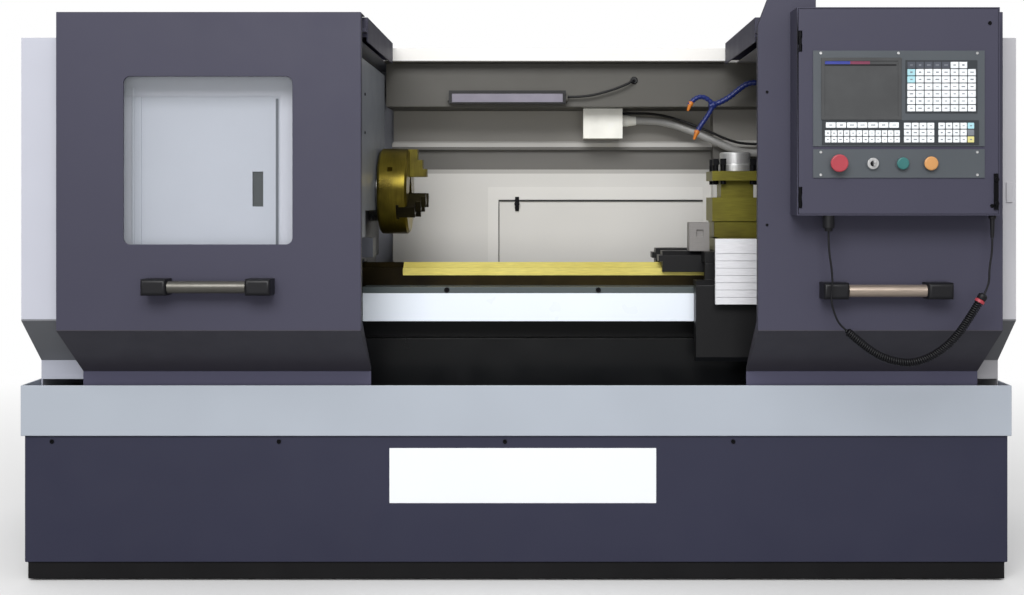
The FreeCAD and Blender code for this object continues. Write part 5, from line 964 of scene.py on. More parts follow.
class KeyField(RepeatTree):
    """Rounded key caps in even columns and rows, each with a small plain mark."""

    SEED = 7
    CAP_RISE = 0.0011
    CAP_GAP = 0.0018
    CAP_CORNER = 0.0012
    CORNER_STEPS = 3
    TOP_SHARE = 0.93
    # The mark's width, height and rise as shares of the cap's, and how much its width and height vary.
    MARK_SHARE = (0.5, 0.16, 1.12)
    MARK_LEAST = (0.45, 0.6, 1.0)
    MARK_MOST = (1.0, 1.5, 1.0)
    MARK_CORNER = 0.0001
    MERGE = 1e-6

    def __init__(self) -> None:
        """Build one cap from a rounded outline, and set it and its mark on a grid."""
        super().__init__("key_field", {"Columns": "NodeSocketInt", "Rows": "NodeSocketInt",
                                       "Width": "NodeSocketFloat", "Height": "NodeSocketFloat",
                                       "Cap": "NodeSocketVector", "Centre": "NodeSocketVector",
                                       "Finish": "NodeSocketMaterial", "Mark": "NodeSocketMaterial"})
        cap = self.node("ShaderNodeSeparateXYZ", {0: self.source["Cap"]}).outputs
        grid = self.node("GeometryNodeMeshGrid",
                         {"Size X": self.source["Width"], "Size Y": self.source["Height"],
                          "Vertices X": self.source["Columns"], "Vertices Y": self.source["Rows"]})
        points = grid.outputs[0]
        caps = self.node("GeometryNodeInstanceOnPoints",
                         {"Points": points, "Instance": self.block(cap[0], cap[1], cap[2], self.CAP_CORNER)})
        mark = [self.node("ShaderNodeMath", {0: cap[i], 1: share}, operation="MULTIPLY").outputs[0]
                for i, share in enumerate(self.MARK_SHARE)]
        chance = self.node("FunctionNodeRandomValue",
                           {0: self.MARK_LEAST, 1: self.MARK_MOST, "Seed": self.SEED},
                           data_type="FLOAT_VECTOR")
        marks = self.node("GeometryNodeInstanceOnPoints",
                          {"Points": points, "Instance": self.block(*mark, self.MARK_CORNER),
                           "Scale": chance.outputs[0]})
        both = self.node("GeometryNodeJoinGeometry", {0: [self.end(marks.outputs[0], self.source["Mark"]),
                                                          self.end(caps.outputs[0], self.source["Finish"])]})
        stood = self.node("GeometryNodeTransform",
                          {"Geometry": both.outputs[0], "Translation": self.source["Centre"],
                           "Rotation": Facing.FRONT.value})
        self.node("NodeGroupOutput", {0: stood.outputs[0]})

    def block(self, wide: Socket, tall: Socket, rise: Socket, corner: float) -> Socket:
        """A rounded block on the ground plane, drawn in a little at its top.

        Args:
            wide: its width.
            tall: its depth on the plane.
            rise: its height.
            corner: the radius of its corners.

        Returns:
            The block's geometry.
        """
        outline = self.node("GeometryNodeCurvePrimitiveQuadrilateral", {"Width": wide, "Height": tall})
        soft = self.node("GeometryNodeFilletCurve",
                         {"Curve": outline.outputs[0], "Radius": corner, "Count": self.CORNER_STEPS},
                         mode="POLY")
        flat = self.node("GeometryNodeFillCurve", {0: soft.outputs[0]}, mode="NGONS").outputs[0]
        under = self.node("GeometryNodeFlipFaces", {0: flat})
        up = self.node("GeometryNodeExtrudeMesh", {"Mesh": flat, "Offset Scale": rise}).outputs
        drawn = self.node("GeometryNodeScaleElements", {"Geometry": up["Mesh"], "Selection": up["Top"],
                                                        "Scale": self.TOP_SHARE})
        both = self.node("GeometryNodeJoinGeometry", {0: [drawn.outputs[0], under.outputs[0]]})
        whole = self.node("GeometryNodeMergeByDistance",
                          {"Geometry": both.outputs[0], "Distance": self.MERGE})
        return whole.outputs[0]

    def keys(self, name: str, finish: Finish, low: Pair, high: Pair, columns: int, rows: int,
             front: float) -> Object:
        """One field of keys on a face that looks to the operator.

        Args:
            name: the piece's name.
            finish: the caps' finish.
            low: the field's lowest X and Z.
            high: the field's highest X and Z.
            columns: keys in a row.
            rows: rows of keys.
            front: the Y of the face that they stand on.

        Returns:
            The keys as one mesh.
        """
        wide, tall = (high[0] - low[0]) / columns, (high[1] - low[1]) / rows
        empty = as_object(name, bpy.data.meshes.new(name))
        return self.run(empty, Columns=columns, Rows=rows, Width=wide * (columns - 1),
                        Height=tall * (rows - 1),
                        Cap=(wide - self.CAP_GAP, tall - self.CAP_GAP, self.CAP_RISE),
                        Centre=((low[0] + high[0]) / 2, front, (low[1] + high[1]) / 2),
                        Finish=finish.material(), Mark=MARK_GREY.material())


class HoseLinks(RepeatTree):
    """Ball-and-socket hose links that follow a curve."""

    SIDES = 20
    RINGS = 10
    # The sleeve's narrow end and the ball as shares of the radius, and the sleeve's length of the pitch.
    NECK_SHARE = 0.74
    BALL_SHARE = 0.86
    SLEEVE_SHARE = 0.82

    def __init__(self) -> None:
        """Build one link from a flared sleeve and a ball, and set it along the curve."""
        super().__init__("hose_links", {"Pitch": "NodeSocketFloat", "Radius": "NodeSocketFloat",
                                        "Finish": "NodeSocketMaterial"})
        pitch, radius = self.source["Pitch"], self.source["Radius"]
        neck, ball, deep = [self.node("ShaderNodeMath", {0: whole, 1: share}, operation="MULTIPLY").outputs[0]
                            for whole, share in ((radius, self.NECK_SHARE), (radius, self.BALL_SHARE),
                                                 (pitch, self.SLEEVE_SHARE))]
        sleeve = self.node("GeometryNodeMeshCone", {"Vertices": self.SIDES, "Radius Top": neck,
                                                    "Radius Bottom": radius, "Depth": deep})
        knob = self.node("GeometryNodeMeshUVSphere",
                         {"Segments": self.SIDES, "Rings": self.RINGS, "Radius": ball})
        link = self.node("GeometryNodeJoinGeometry", {0: [sleeve.outputs[0], knob.outputs[0]]})
        even = self.node("GeometryNodeResampleCurve", {"Curve": self.source["Geometry"], "Length": pitch},
                         mode="LENGTH")
        aim = self.node("FunctionNodeAlignRotationToVector",
                        {"Vector": self.node("GeometryNodeInputTangent").outputs[0]}, axis="Z")
        spread = self.node("GeometryNodeInstanceOnPoints",
                           {"Points": even.outputs[0], "Instance": link.outputs[0],
                            "Rotation": aim.outputs[0]})
        self.node("NodeGroupOutput", {0: self.end(spread.outputs[0], self.source["Finish"])})

    def along(self, name: str, points: Sequence[Point], radius: float, pitch: float,
              finish: Finish) -> Object:
        """Lay a run of links through the points of a route.

        Args:
            name: the piece's name.
            points: the route's points, in metres.
            radius: the links' radius.
            pitch: the distance from link to link.
            finish: what they are made of.

        Returns:
            The run as one mesh.
        """
        line = cable(name, points, 0.0, finish)
        return self.run(line, Pitch=pitch, Radius=radius, Finish=finish.material())


# --- cords -----------------------------------------------------------------------------------


def cable(name: str, points: Sequence[Point], radius: float, finish: Finish, fineness: int = 8,
          roundness: int = 3) -> Object:
    """A smooth line with the given control points, thickened to a cable.

    Args:
        name: the piece's name.
        points: the route's points, in metres.
        radius: the cable's radius, or zero for a bare line.
        finish: its sheath.
        fineness: steps between two points.
        roundness: how finely the sheath is rounded.

    Returns:
        The curve object.
    """
    line = bpy.data.curves.new(name, "CURVE")
    line.dimensions = "3D"
    line.resolution_u = fineness
    spline = line.splines.new("NURBS")
    spline.points.add(len(points) - 1)
    for control, point in zip(spline.points, points):
        control.co = (*point, 1.0)
    spline.order_u = 3
    spline.use_endpoint_u = True
    line.bevel_depth = radius
    line.bevel_resolution = roundness
    line.use_fill_caps = radius > 0
    line.materials.append(finish.material())
    return as_object(name, line)


def read_line(points: Sequence[Point], fineness: int = 24) -> list[Vector]:
    """Read the points that a smooth line through a route's control points really has.

    Args:
        points: the route's points, in metres.
        fineness: steps between two points.

    Returns:
        The line's own points.
    """
    bare = cable("bare_line", points, 0.0, SHEATH_BLACK, fineness)
    mesh = bpy.data.meshes.new_from_object(bare.evaluated_get(bpy.context.evaluated_depsgraph_get()))
    found = [vertex.co.copy() for vertex in mesh.vertices]
    bpy.data.objects.remove(bare)
    bpy.data.meshes.remove(mesh)
    return found


def length_of(points: Sequence[Vector]) -> float:
    """The length of a line through points."""
    return sum((b - a).length for a, b in zip(points, points[1:]))


def metres(points: Sequence[Point]) -> list[Point]:
    """Turn a route's millimetres into metres."""
    return [(x / 1000, y / 1000, z / 1000) for x, y, z in points]


# --- the studio ------------------------------------------------------------------------------


@dataclass(frozen=True)
class SoftLamp:
    """One rectangular lamp: its place, its size, its power and whether glossy surfaces mirror it."""

    name: str
    at: Point
    size: Pair
    watts: float
    mirrored: bool = True


@dataclass
class Studio:
    """Camera, soft lamps, an even sky and a plain pale floor."""

    camera_at: Point = (0.074, -3.930, 0.981)
    camera_turn: Point = (math.pi / 2, 0.0, 0.0)
    lens: float = 48.79
    sensor: float = 36.0
    shift: Pair = (-0.0322, -0.0952)
    # The high lamp draws the highlights. The low one only fills, because its mirror image would
    # veil dark paint.
    lamps: tuple[SoftLamp, ...] = (SoftLamp("key_lamp", (-0.6, -5.0, 3.7), (3.6, 2.2), 208.0),
                                   SoftLamp("fill_lamp", (0.1, -5.0, 0.5), (3.0, 1.2), 56.0, mirrored=False))
    target: Point = (0.0, 0.0, 0.85)
    sky_up: float = 0.95
    sky_level: float = 0.62
    sky_down: float = 0.32
    sky_mirrored: float = 0.35
    horizon: float = 0.5
    floor_half: float = 14.0
    floor_fade: Pair = (1.9, 4.5)
    floor_seen: str = "#e9e9e9"
    floor_bounced: str = "#7d7d7d"

    def build(self) -> None:
        """Make all of it."""
        scene = bpy.context.scene
        scene.view_settings.view_transform = "Standard"
        lens = bpy.data.cameras.new("camera")
        lens.lens, lens.sensor_width = self.lens, self.sensor
        lens.shift_x, lens.shift_y = self.shift
        camera = as_object("camera", lens)
        camera.location, camera.rotation_euler = self.camera_at, self.camera_turn
        scene.camera = camera
        for lamp in self.lamps:
            self.light(lamp)
        self.sky()
        self.floor()

    def light(self, lamp: SoftLamp) -> None:
        """Set up one lamp so that it looks at the machine.

        Args:
            lamp: its place, size and power.
        """
        light = bpy.data.lights.new(lamp.name, "AREA")
        light.shape, light.size, light.size_y, light.energy = "RECTANGLE", *lamp.size, lamp.watts
        stand = as_object(lamp.name, light)
        stand.location = lamp.at
        stand.rotation_euler = (Vector(self.target) - Vector(lamp.at)).to_track_quat("-Z", "Y").to_euler()
        stand.visible_glossy = lamp.mirrored

    def sky(self) -> None:
        """An even sky, brighter above. It is seen as white behind the machine and is mirrored dimly."""
        world = bpy.data.worlds.new("sky")
        bpy.context.scene.world = world
        world.use_nodes = True
        tree = world.node_tree
        tree.nodes.clear()
        way = add(tree, "ShaderNodeTexCoord").outputs["Generated"]
        height = add(tree, "ShaderNodeSeparateXYZ", {0: way}).outputs[2]
        share = add(tree, "ShaderNodeMapRange", Swing(height, 0.0, 1.0, -1.0, 1.0).inputs()).outputs[0]
        ramp = add(tree, "ShaderNodeValToRGB", {"Fac": share})
        stops = ramp.color_ramp.elements
        stops[0].color = (*[self.sky_down] * 3, 1)
        stops[1].color = (*[self.sky_up] * 3, 1)
        stops.new(self.horizon).color = (*[self.sky_level] * 3, 1)
        glossy = add(tree, "ShaderNodeLightPath").outputs["Is Glossy Ray"]
        strength = add(tree, "ShaderNodeMapRange", Swing(glossy, 1.0, self.sky_mirrored, 0.0, 1.0).inputs())
        lit = add(tree, "ShaderNodeBackground", {"Color": ramp.outputs[0], "Strength": strength.outputs[0]})
        seen = add(tree, "ShaderNodeBackground", {"Color": linear("#ffffff"), "Strength": 1.0})
        mix = add(tree, "ShaderNodeMixShader",
                  {0: self.seen_ray(tree), 1: lit.outputs[0], 2: seen.outputs[0]})
        add(tree, "ShaderNodeOutputWorld", {"Surface": mix.outputs[0]})

    def seen_ray(self, tree: Tree) -> Socket:
        """Tell the rays that see the background straight or through glass from all others.

        Args:
            tree: the tree that asks.

        Returns:
            One on such rays and zero on the others.
        """
        path = add(tree, "ShaderNodeLightPath").outputs
        return add(tree, "ShaderNodeMath", {0: path["Is Camera Ray"], 1: path["Is Transmission Ray"]},
                   operation="MAXIMUM").outputs[0]

    def floor(self) -> None:
        """A pale floor that keeps the machine's shadow and fades into the background."""
        shape = bmesh.new()
        bmesh.ops.create_grid(shape, x_segments=1, y_segments=1, size=self.floor_half)
        floor = from_shape("floor", shape)
        material = bpy.data.materials.new("pale_floor")
        material.use_nodes = True
        tree = material.node_tree
        tree.nodes.clear()
        spot = add(tree, "ShaderNodeTexCoord").outputs["Object"]
        away = add(tree, "ShaderNodeVectorMath", {0: spot}, operation="LENGTH").outputs["Value"]
        far = add(tree, "ShaderNodeMapRange", Swing(away, 0.0, 1.0, *self.floor_fade).inputs()).outputs[0]
        bounced = add(tree, "ShaderNodeBsdfDiffuse", {"Color": linear(self.floor_bounced)})
        near = add(tree, "ShaderNodeBsdfDiffuse", {"Color": linear(self.floor_seen)})
        white = add(tree, "ShaderNodeEmission", {"Color": linear("#ffffff"), "Strength": 1.0})
        pale = add(tree, "ShaderNodeMixShader", {0: far, 1: near.outputs[0], 2: white.outputs[0]})
        mix = add(tree, "ShaderNodeMixShader",
                  {0: self.seen_ray(tree), 1: bounced.outputs[0], 2: pale.outputs[0]})
        add(tree, "ShaderNodeOutputMaterial", {"Surface": mix.outputs[0]})
        floor.data.materials.append(material)


# --- sub-assemblies --------------------------------------------------------------------------


@dataclass
class Base:
    """The cabinet, its feet, the chip tray, the bed and the cover over the long screw."""

    cabinet_front: float = -0.360
    screw_z: float = 0.360
    screw_x: tuple[float, ...] = (-1.194, -0.610, -0.029, 0.558)
    label_low: Pair = (-0.326, 0.2015)
    label_high: Pair = (0.360, 0.343)
    label_thick: float = 0.0012
    way_low: float = 0.775
    # Left of this X the ways' tops lie under the chuck and take its painted shadow.
    chuck_shade_end: float = -0.315
    rail_low: float = 0.735
    cover_front: float = -0.210
    bolt_z: float = 0.740
    bolt_x: Pair = (-0.189, 0.217)

    def build(self, screws: ScrewHeads) -> None:
        """Dress the base and add its screws and its bare label plate.

        Args:
            screws: the tree that sets screw heads.
        """
        seams = (((0.0, 0.0, self.way_low), (0.0, 0.0, 1.0)), ((self.chuck_shade_end, 0.0, 0.0), (1.0, 0.0, 0.0)))
        pieces = clothed((Skin("base_cabinet", CABINET, 0.0025), Skin("chip_tray", TRAY_GREY, 0.002),
                          Skin("bed", DARK_ENAMEL, 0.001, seams=seams),
                          Skin("screw_cover", COVER_WHITE, 0.001)))
        # The ways' sides and their tops under the chuck take painted shade; the tops beyond take the bright
        # oiled way.
        repaint(pieces["bed"], WAY_SHADE, within(z=(self.rail_low, FAR)))
        repaint(pieces["bed"], BED_WAY, within(x=(self.chuck_shade_end, FAR), z=(self.way_low, FAR)))
        wear("levelling_feet", FOOT_RUBBER)
        screws.scatter("cabinet_screws", Head.CABINET,
                       [(x, self.cabinet_front, self.screw_z) for x in self.screw_x], "frame")
        screws.scatter("cover_bolts", Head.SCREW_COVER,
                       [(x, self.cover_front, self.bolt_z) for x in self.bolt_x], "frame")
        left, low = self.label_low
        right, high = self.label_high
        label = plate("bare_label_plate", LABEL_WHITE, (left, self.cabinet_front - self.label_thick, low),
                      (right, self.cabinet_front, high))
        settle(label, "frame", "white_paint")


@dataclass
class Drive:
    """The headstock with its spindle and chuck, and the motors, belt and screws that move the machine."""

    skins: tuple[Skin, ...] = (
        Skin("headstock", GREY_ENAMEL, 0.004), Skin("chuck_body", CHUCK_STEEL, 0.0012),
        # The top jaw wears painted light and the lower jaws painted shade.
        Skin("chuck_jaw_top", JAW_LIT, 0.0008), Skin("chuck_jaw_front", JAW_SHADED, 0.0008),
        Skin("chuck_jaw_rear", JAW_SHADED, 0.0008))
    bare: tuple[tuple[str, Finish], ...] = (
        ("spindle", SPINDLE_STEEL), ("main_motor", MOTOR_IRON), ("motor_pulley", BRIGHT_ALLOY),
        ("drive_belt", BELT_RUBBER), ("z_screw", SCREW_STEEL), ("z_motor", DARK_ENAMEL),
        ("x_screw", SCREW_STEEL))

    def build(self) -> None:
        """Dress the drive's pieces. The bare ones lie inside the machine and stay as the frame has them."""
        clothed(self.skins)
        for node, finish in self.bare:
            wear(node, finish)


@dataclass
class Carriage:
    """The saddle and its apron, the cross slide with the turret, and the coolant pipe with its hose."""

    skins: tuple[Skin, ...] = (
        Skin("saddle", DARK_ENAMEL, 0.003), Skin("apron", DARK_ENAMEL, 0.003),
        Skin("cross_slide", TURRET_IRON, 0.001), Skin("turret_base", TURRET_IRON, 0.0012),
        Skin("turret_head", TURRET_IRON, 0.001), Skin("turret_cap", CAP_STEEL, 0.001),
        Skin("slat_cover", SLAT_WHITE, 0.0008), Skin("limit_switch_box", SWITCH_ALLOY, 0.001),
        Skin("clamp_bolts", BLACK_OXIDE, 0.0006), Skin("coolant_pipe", BLACK_OXIDE, 0.0006))
    trunk: tuple[Point, ...] = (
        (694, 95, 1322), (668, 95, 1322), (641, 92, 1306), (613, 86, 1282), (584, 80, 1264), (556, 74, 1254))
    upper: tuple[Point, ...] = (
        (560, 75, 1255), (545, 71, 1272), (526, 66, 1279), (506, 60, 1274), (493, 54, 1260), (486, 50, 1243))
    lower: tuple[Point, ...] = (
        (560, 75, 1255), (551, 72, 1237), (538, 67, 1217), (524, 61, 1198), (511, 55, 1178), (503, 51, 1158))
    trunk_radius: float = 0.009
    branch_radius: float = 0.0075
    fork_radius: float = 0.01125
    pitch: float = 0.0115
    nozzle: tuple[Pair, ...] = ((-0.003, 0.006), (0.0, 0.007875), (0.006, 0.007875), (0.010, 0.005625),
                                (0.025, 0.00375), (0.026, 0.003))

    def build(self, links: HoseLinks) -> None:
        """Dress the carriage and lay the jointed hose.

        Args:
            links: the tree that sets hose links.
        """
        clothed(self.skins)
        self.hose(links)

    def hose(self, links: HoseLinks) -> None:
        """Lay the trunk, its fork and the two branches, each ending in an orange nozzle.

        Args:
            links: the tree that sets hose links.
        """
        parts = [links.along("hose_trunk", metres(self.trunk), self.trunk_radius, self.pitch, HOSE_BLUE)]
        nozzles = []
        for name, route in (("upper", self.upper), ("lower", self.lower)):
            *link_points, tip = metres(route)
            parts.append(links.along(f"hose_{name}", link_points, self.branch_radius, self.pitch, HOSE_BLUE))
            start = Vector(link_points[-1])
            nozzles.append(turned(f"nozzle_{name}", NOZZLE_ORANGE, self.nozzle, start,
                                  (Vector(tip) - start).normalized(), sides=20))
        fork = metres(self.upper)[0]
        knot = bmesh.new()
        bmesh.ops.create_uvsphere(knot, u_segments=24, v_segments=14, radius=self.fork_radius,
                                  matrix=Matrix.Translation(fork))
        parts.append(painted(from_shape("hose_fork", knot), HOSE_BLUE))
        settle(joined("jointed_hose", parts), "saddle", "blue_plastic", "coolant_hose")
        settle(joined("hose_nozzles", nozzles), "saddle", "orange_plastic")


@dataclass
class Tailstock:
    """The tailstock with its quill and handwheel, behind the right door."""

    skins: tuple[Skin, ...] = (
        Skin("tailstock", GREY_ENAMEL, 0.003), Skin("tailstock_quill", SPINDLE_STEEL, 0.0006),
        Skin("tailstock_handwheel", BLACK_OXIDE, 0.0008))

    def build(self) -> None:
        """Dress its pieces."""
        clothed(self.skins)


@dataclass
class Enclosure:
    """End guards, hoods, service door, spindle guard and rear wall, with the lamp and the junction box."""

    skins: tuple[Skin, ...] = (
        Skin("left_guard", GUARD_PALE, 0.0015), Skin("right_guard", GUARD_RIGHT, 0.0015),
        Skin("service_door", SERVICE_PALE), Skin("side_hoods", SLATE, 0.0015),
        Skin("spindle_guard", PANEL_GREY), Skin("rear_wall", REAR_WHITE, 0.0015),
        Skin("lamp_housing", BLACK_PLASTIC), Skin("lamp_diffuser", LAMP_OPAL, 0.0006),
        Skin("junction_box", BOX_PLASTIC, 0.0015))
    pull: Box = ((-0.664, -0.438, 0.962), (-0.632, -0.42, 1.055))
    bracket: Box = ((-0.42, -0.5, 0.8), (-0.3, 0.2, 0.905))
    housing_front: float = 0.38
    housing_top: float = 1.38
    seal_low: Point = (-0.603, -0.4408, 0.734)
    dark_strip_high: Point = (-0.596, -0.440, 1.236)
    dark_strip_edge: float = 0.0003
    guard_face: float = -0.394
    guard_screws: tuple[Pair, ...] = ((-0.326, 1.256), (-0.326, 1.156))

    def build(self, screws: ScrewHeads) -> None:
        """Dress the sheet metal and add the service door's seal and the spindle guard's screws.

        Args:
            screws: the tree that sets screw heads.
        """
        pieces = clothed(self.skins)
        # The guards' fronts keep their bands of painted shade; their other faces take one even tone.
        repaint(pieces["left_guard"], GUARD_PLAIN, within(), keeps_front=True)
        repaint(pieces["right_guard"], GUARD_PLAIN_RIGHT, within(), keeps_front=True)
        repaint(pieces["service_door"], BLACK_PLASTIC, self.pull)
        repaint(pieces["spindle_guard"], GREY_ENAMEL, self.bracket)
        # The rear wall's painted light and shade stay on the inside; the housing behind takes one even white.
        repaint(pieces["rear_wall"], HOUSING_WHITE,
                within(y=(self.housing_front, FAR), z=(0.0, self.housing_top)))
        seal = plate("service_door_seal", DOOR_RUBBER, self.seal_low, self.dark_strip_high, self.dark_strip_edge)
        settle(seal, body_of("service_door"), "cable_sheath")
        spots = [(self.guard_face, y, z) for y, z in self.guard_screws]
        screws.scatter("panel_screws", Head.SPINDLE_GUARD, spots, "frame", Facing.RIGHT)


@dataclass
class AccessPanel:
    """The access panel in the rear wall, with its pressed border, a black strip of painted shadow in its
    joint, and its turn latch.
    """

    left: float = -0.069
    right: float = 0.560
    low: float = 0.770
    top: float = 0.981
    wall_face: float = 0.350
    joint: float = 0.001
    border_wide: float = 0.033
    border_high: float = 0.040
    border_proud: float = 0.0022
    border_edge: float = 0.0008
    # The black strip of painted shadow in the joint: its height along the top, its width down the side, how
    # far it stands before the wall and how far back it reaches, and its broken edge.
    dark_strip_high: float = 0.0045
    joint_shadow_wide: float = 0.00225
    joint_shadow_proud: float = 0.0052
    joint_shadow_back: float = 0.004
    dark_strip_edge: float = 0.0003
    knob_x: float = -0.012
    knob_z: Pair = (0.982, 0.957)
    knob_face: float = 0.3444
    knob: tuple[Pair, ...] = ((-0.001, 0.0065), (0.003, 0.0065), (0.004, 0.0052))

    def build(self) -> None:
        """Dress the panel and its latch, then add the border, the black strip of painted shadow in the joint
        and the latch's two knobs.
        """
        clothed((Skin("access_panel", REAR_WHITE, 0.001), Skin("access_latch", BLACK_OXIDE, 0.0005)))
        self.border()
        self.seal()
        knobs = [turned("latch_knob", BLACK_OXIDE, self.knob, (self.knob_x, self.knob_face, z),
                        FORWARD, sides=24) for z in self.knob_z]
        settle(joined("latch_knobs", knobs), "frame", "black_steel")

    def border(self) -> None:
        """Lay the border's two strips, above the panel and on its left."""
        front, over = self.wall_face - self.border_proud, self.top + self.joint
        outer = self.left - self.border_wide
        strips = [plate("border_top", BORDER_WHITE, (outer, front, over),
                        (self.right, self.wall_face, self.top + self.border_high), self.border_edge),
                  plate("border_side", BORDER_WHITE, (outer, front, self.low),
                        (self.left - self.joint, self.wall_face, over), self.border_edge)]
        settle(joined("access_border", strips), "frame", "white_paint")

    def seal(self) -> None:
        """Lay a black strip as painted shadow in the joint along the panel's top and left edge."""
        front, back = self.wall_face - self.joint_shadow_proud, self.wall_face - self.joint_shadow_back
        under = self.top - self.dark_strip_high
        strips = [plate("joint_shadow_top", JOINT_SHADOW, (self.left, front, under), (self.right, back, self.top),
                        self.dark_strip_edge),
                  plate("joint_shadow_side", JOINT_SHADOW, (self.left, front, self.low),
                        (self.left + self.joint_shadow_wide, back, under), self.dark_strip_edge)]
        settle(joined("access_joint_shadow", strips), "frame", "cable_sheath")


@dataclass(frozen=True)
class Wire:
    """One fixed cable: its route in millimetres, its radius in metres, its sheath and how stiff it is."""

    name: str
    route: tuple[Point, ...]
    radius: float
    sheath: Finish
    stiffness: Stiffness


@dataclass
class Wiring:
    """The conduit, the signal cable and the lamp's lead, each held at both ends."""

    wires: tuple[Wire, ...] = (
        Wire("conduit",
             ((351, 300, 1222), (396, 300, 1222), (441, 295, 1216), (487, 287, 1203), (533, 277, 1185),
              (579, 268, 1163), (626, 262, 1140), (672, 262, 1123), (716, 262, 1123)),
             0.012, CONDUIT_GREY, Stiffness.STIFF),
        Wire("signal_cable",
             ((305, 285, 1244), (343, 285, 1244), (386, 279, 1243), (431, 270, 1237), (478, 260, 1223),
              (526, 251, 1205), (575, 245, 1184), (623, 244, 1162), (671, 244, 1149), (716, 244, 1149)),
             0.004, SHEATH_BLACK, Stiffness.MEDIUM),
        Wire("lamp_lead",
             ((140.3, 150, 1284), (165, 150, 1284), (190, 149, 1285.5), (216, 148, 1289.5),
              (243, 147, 1296), (270, 147, 1304), (296, 147, 1313), (320, 148, 1324), (337, 152, 1334),
              (337, 170, 1334)),
             0.0035, SHEATH_BLACK, Stiffness.MEDIUM))
    grommet: tuple[Pair, ...] = ((-0.006, 0.0045), (-0.006, 0.009), (-0.002, 0.011), (0.0, 0.011))

    def build(self) -> None:
        """Lay the cables, and set the grommet that holds the end of the lamp's lead."""
        for wire in self.wires:
            points = metres(wire.route)
            cord = cable(wire.name, points, wire.radius, wire.sheath)
            settle(cord, "frame", "cable_sheath", "wall_cables")
            length_of(read_line(points))
        lead_end = metres(self.wires[-1].route)[-1]
        grommet = turned("lamp_grommet", BLACK_PLASTIC, self.grommet, lead_end, BACKWARD)
        settle(grommet, "frame", "black_plastic")


@dataclass
class Doors:
    """The two sliding doors with their window and their tubular handles."""

    skins: tuple[Skin, ...] = (Skin("left_door", SLATE, 0.002), Skin("right_door", SLATE, 0.002),
                               Skin("left_window", WINDOW_PANE, 0.0008))
    # The left tube wears painted shade and the right one a painted reflection.
    handles: tuple[tuple[str, Finish], ...] = (("left_handle", LEFT_TUBE_SHADE), ("right_handle", RIGHT_TUBE_REFLECTION))
    tube_inset: float = 0.063
    post_screws: tuple[Point, ...] = ((0.618, -0.530, 1.2456), (0.618, -0.530, 0.920))

    def build(self, screws: ScrewHeads) -> None:
        """Dress both doors and their handles, whose tubes run between black grips.

        Args:
            screws: the tree that sets screw heads.
        """
        clothed(self.skins)
        for handle, tube in self.handles:
            low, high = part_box(handle)
            piece = finished(Skin(handle, BLACK_PLASTIC, 0.001, flats=3))
            repaint(piece, tube, within(x=(low.x + self.tube_inset, high.x - self.tube_inset)))
        screws.scatter("door_screws", Head.DOOR, self.post_screws, "right_door")


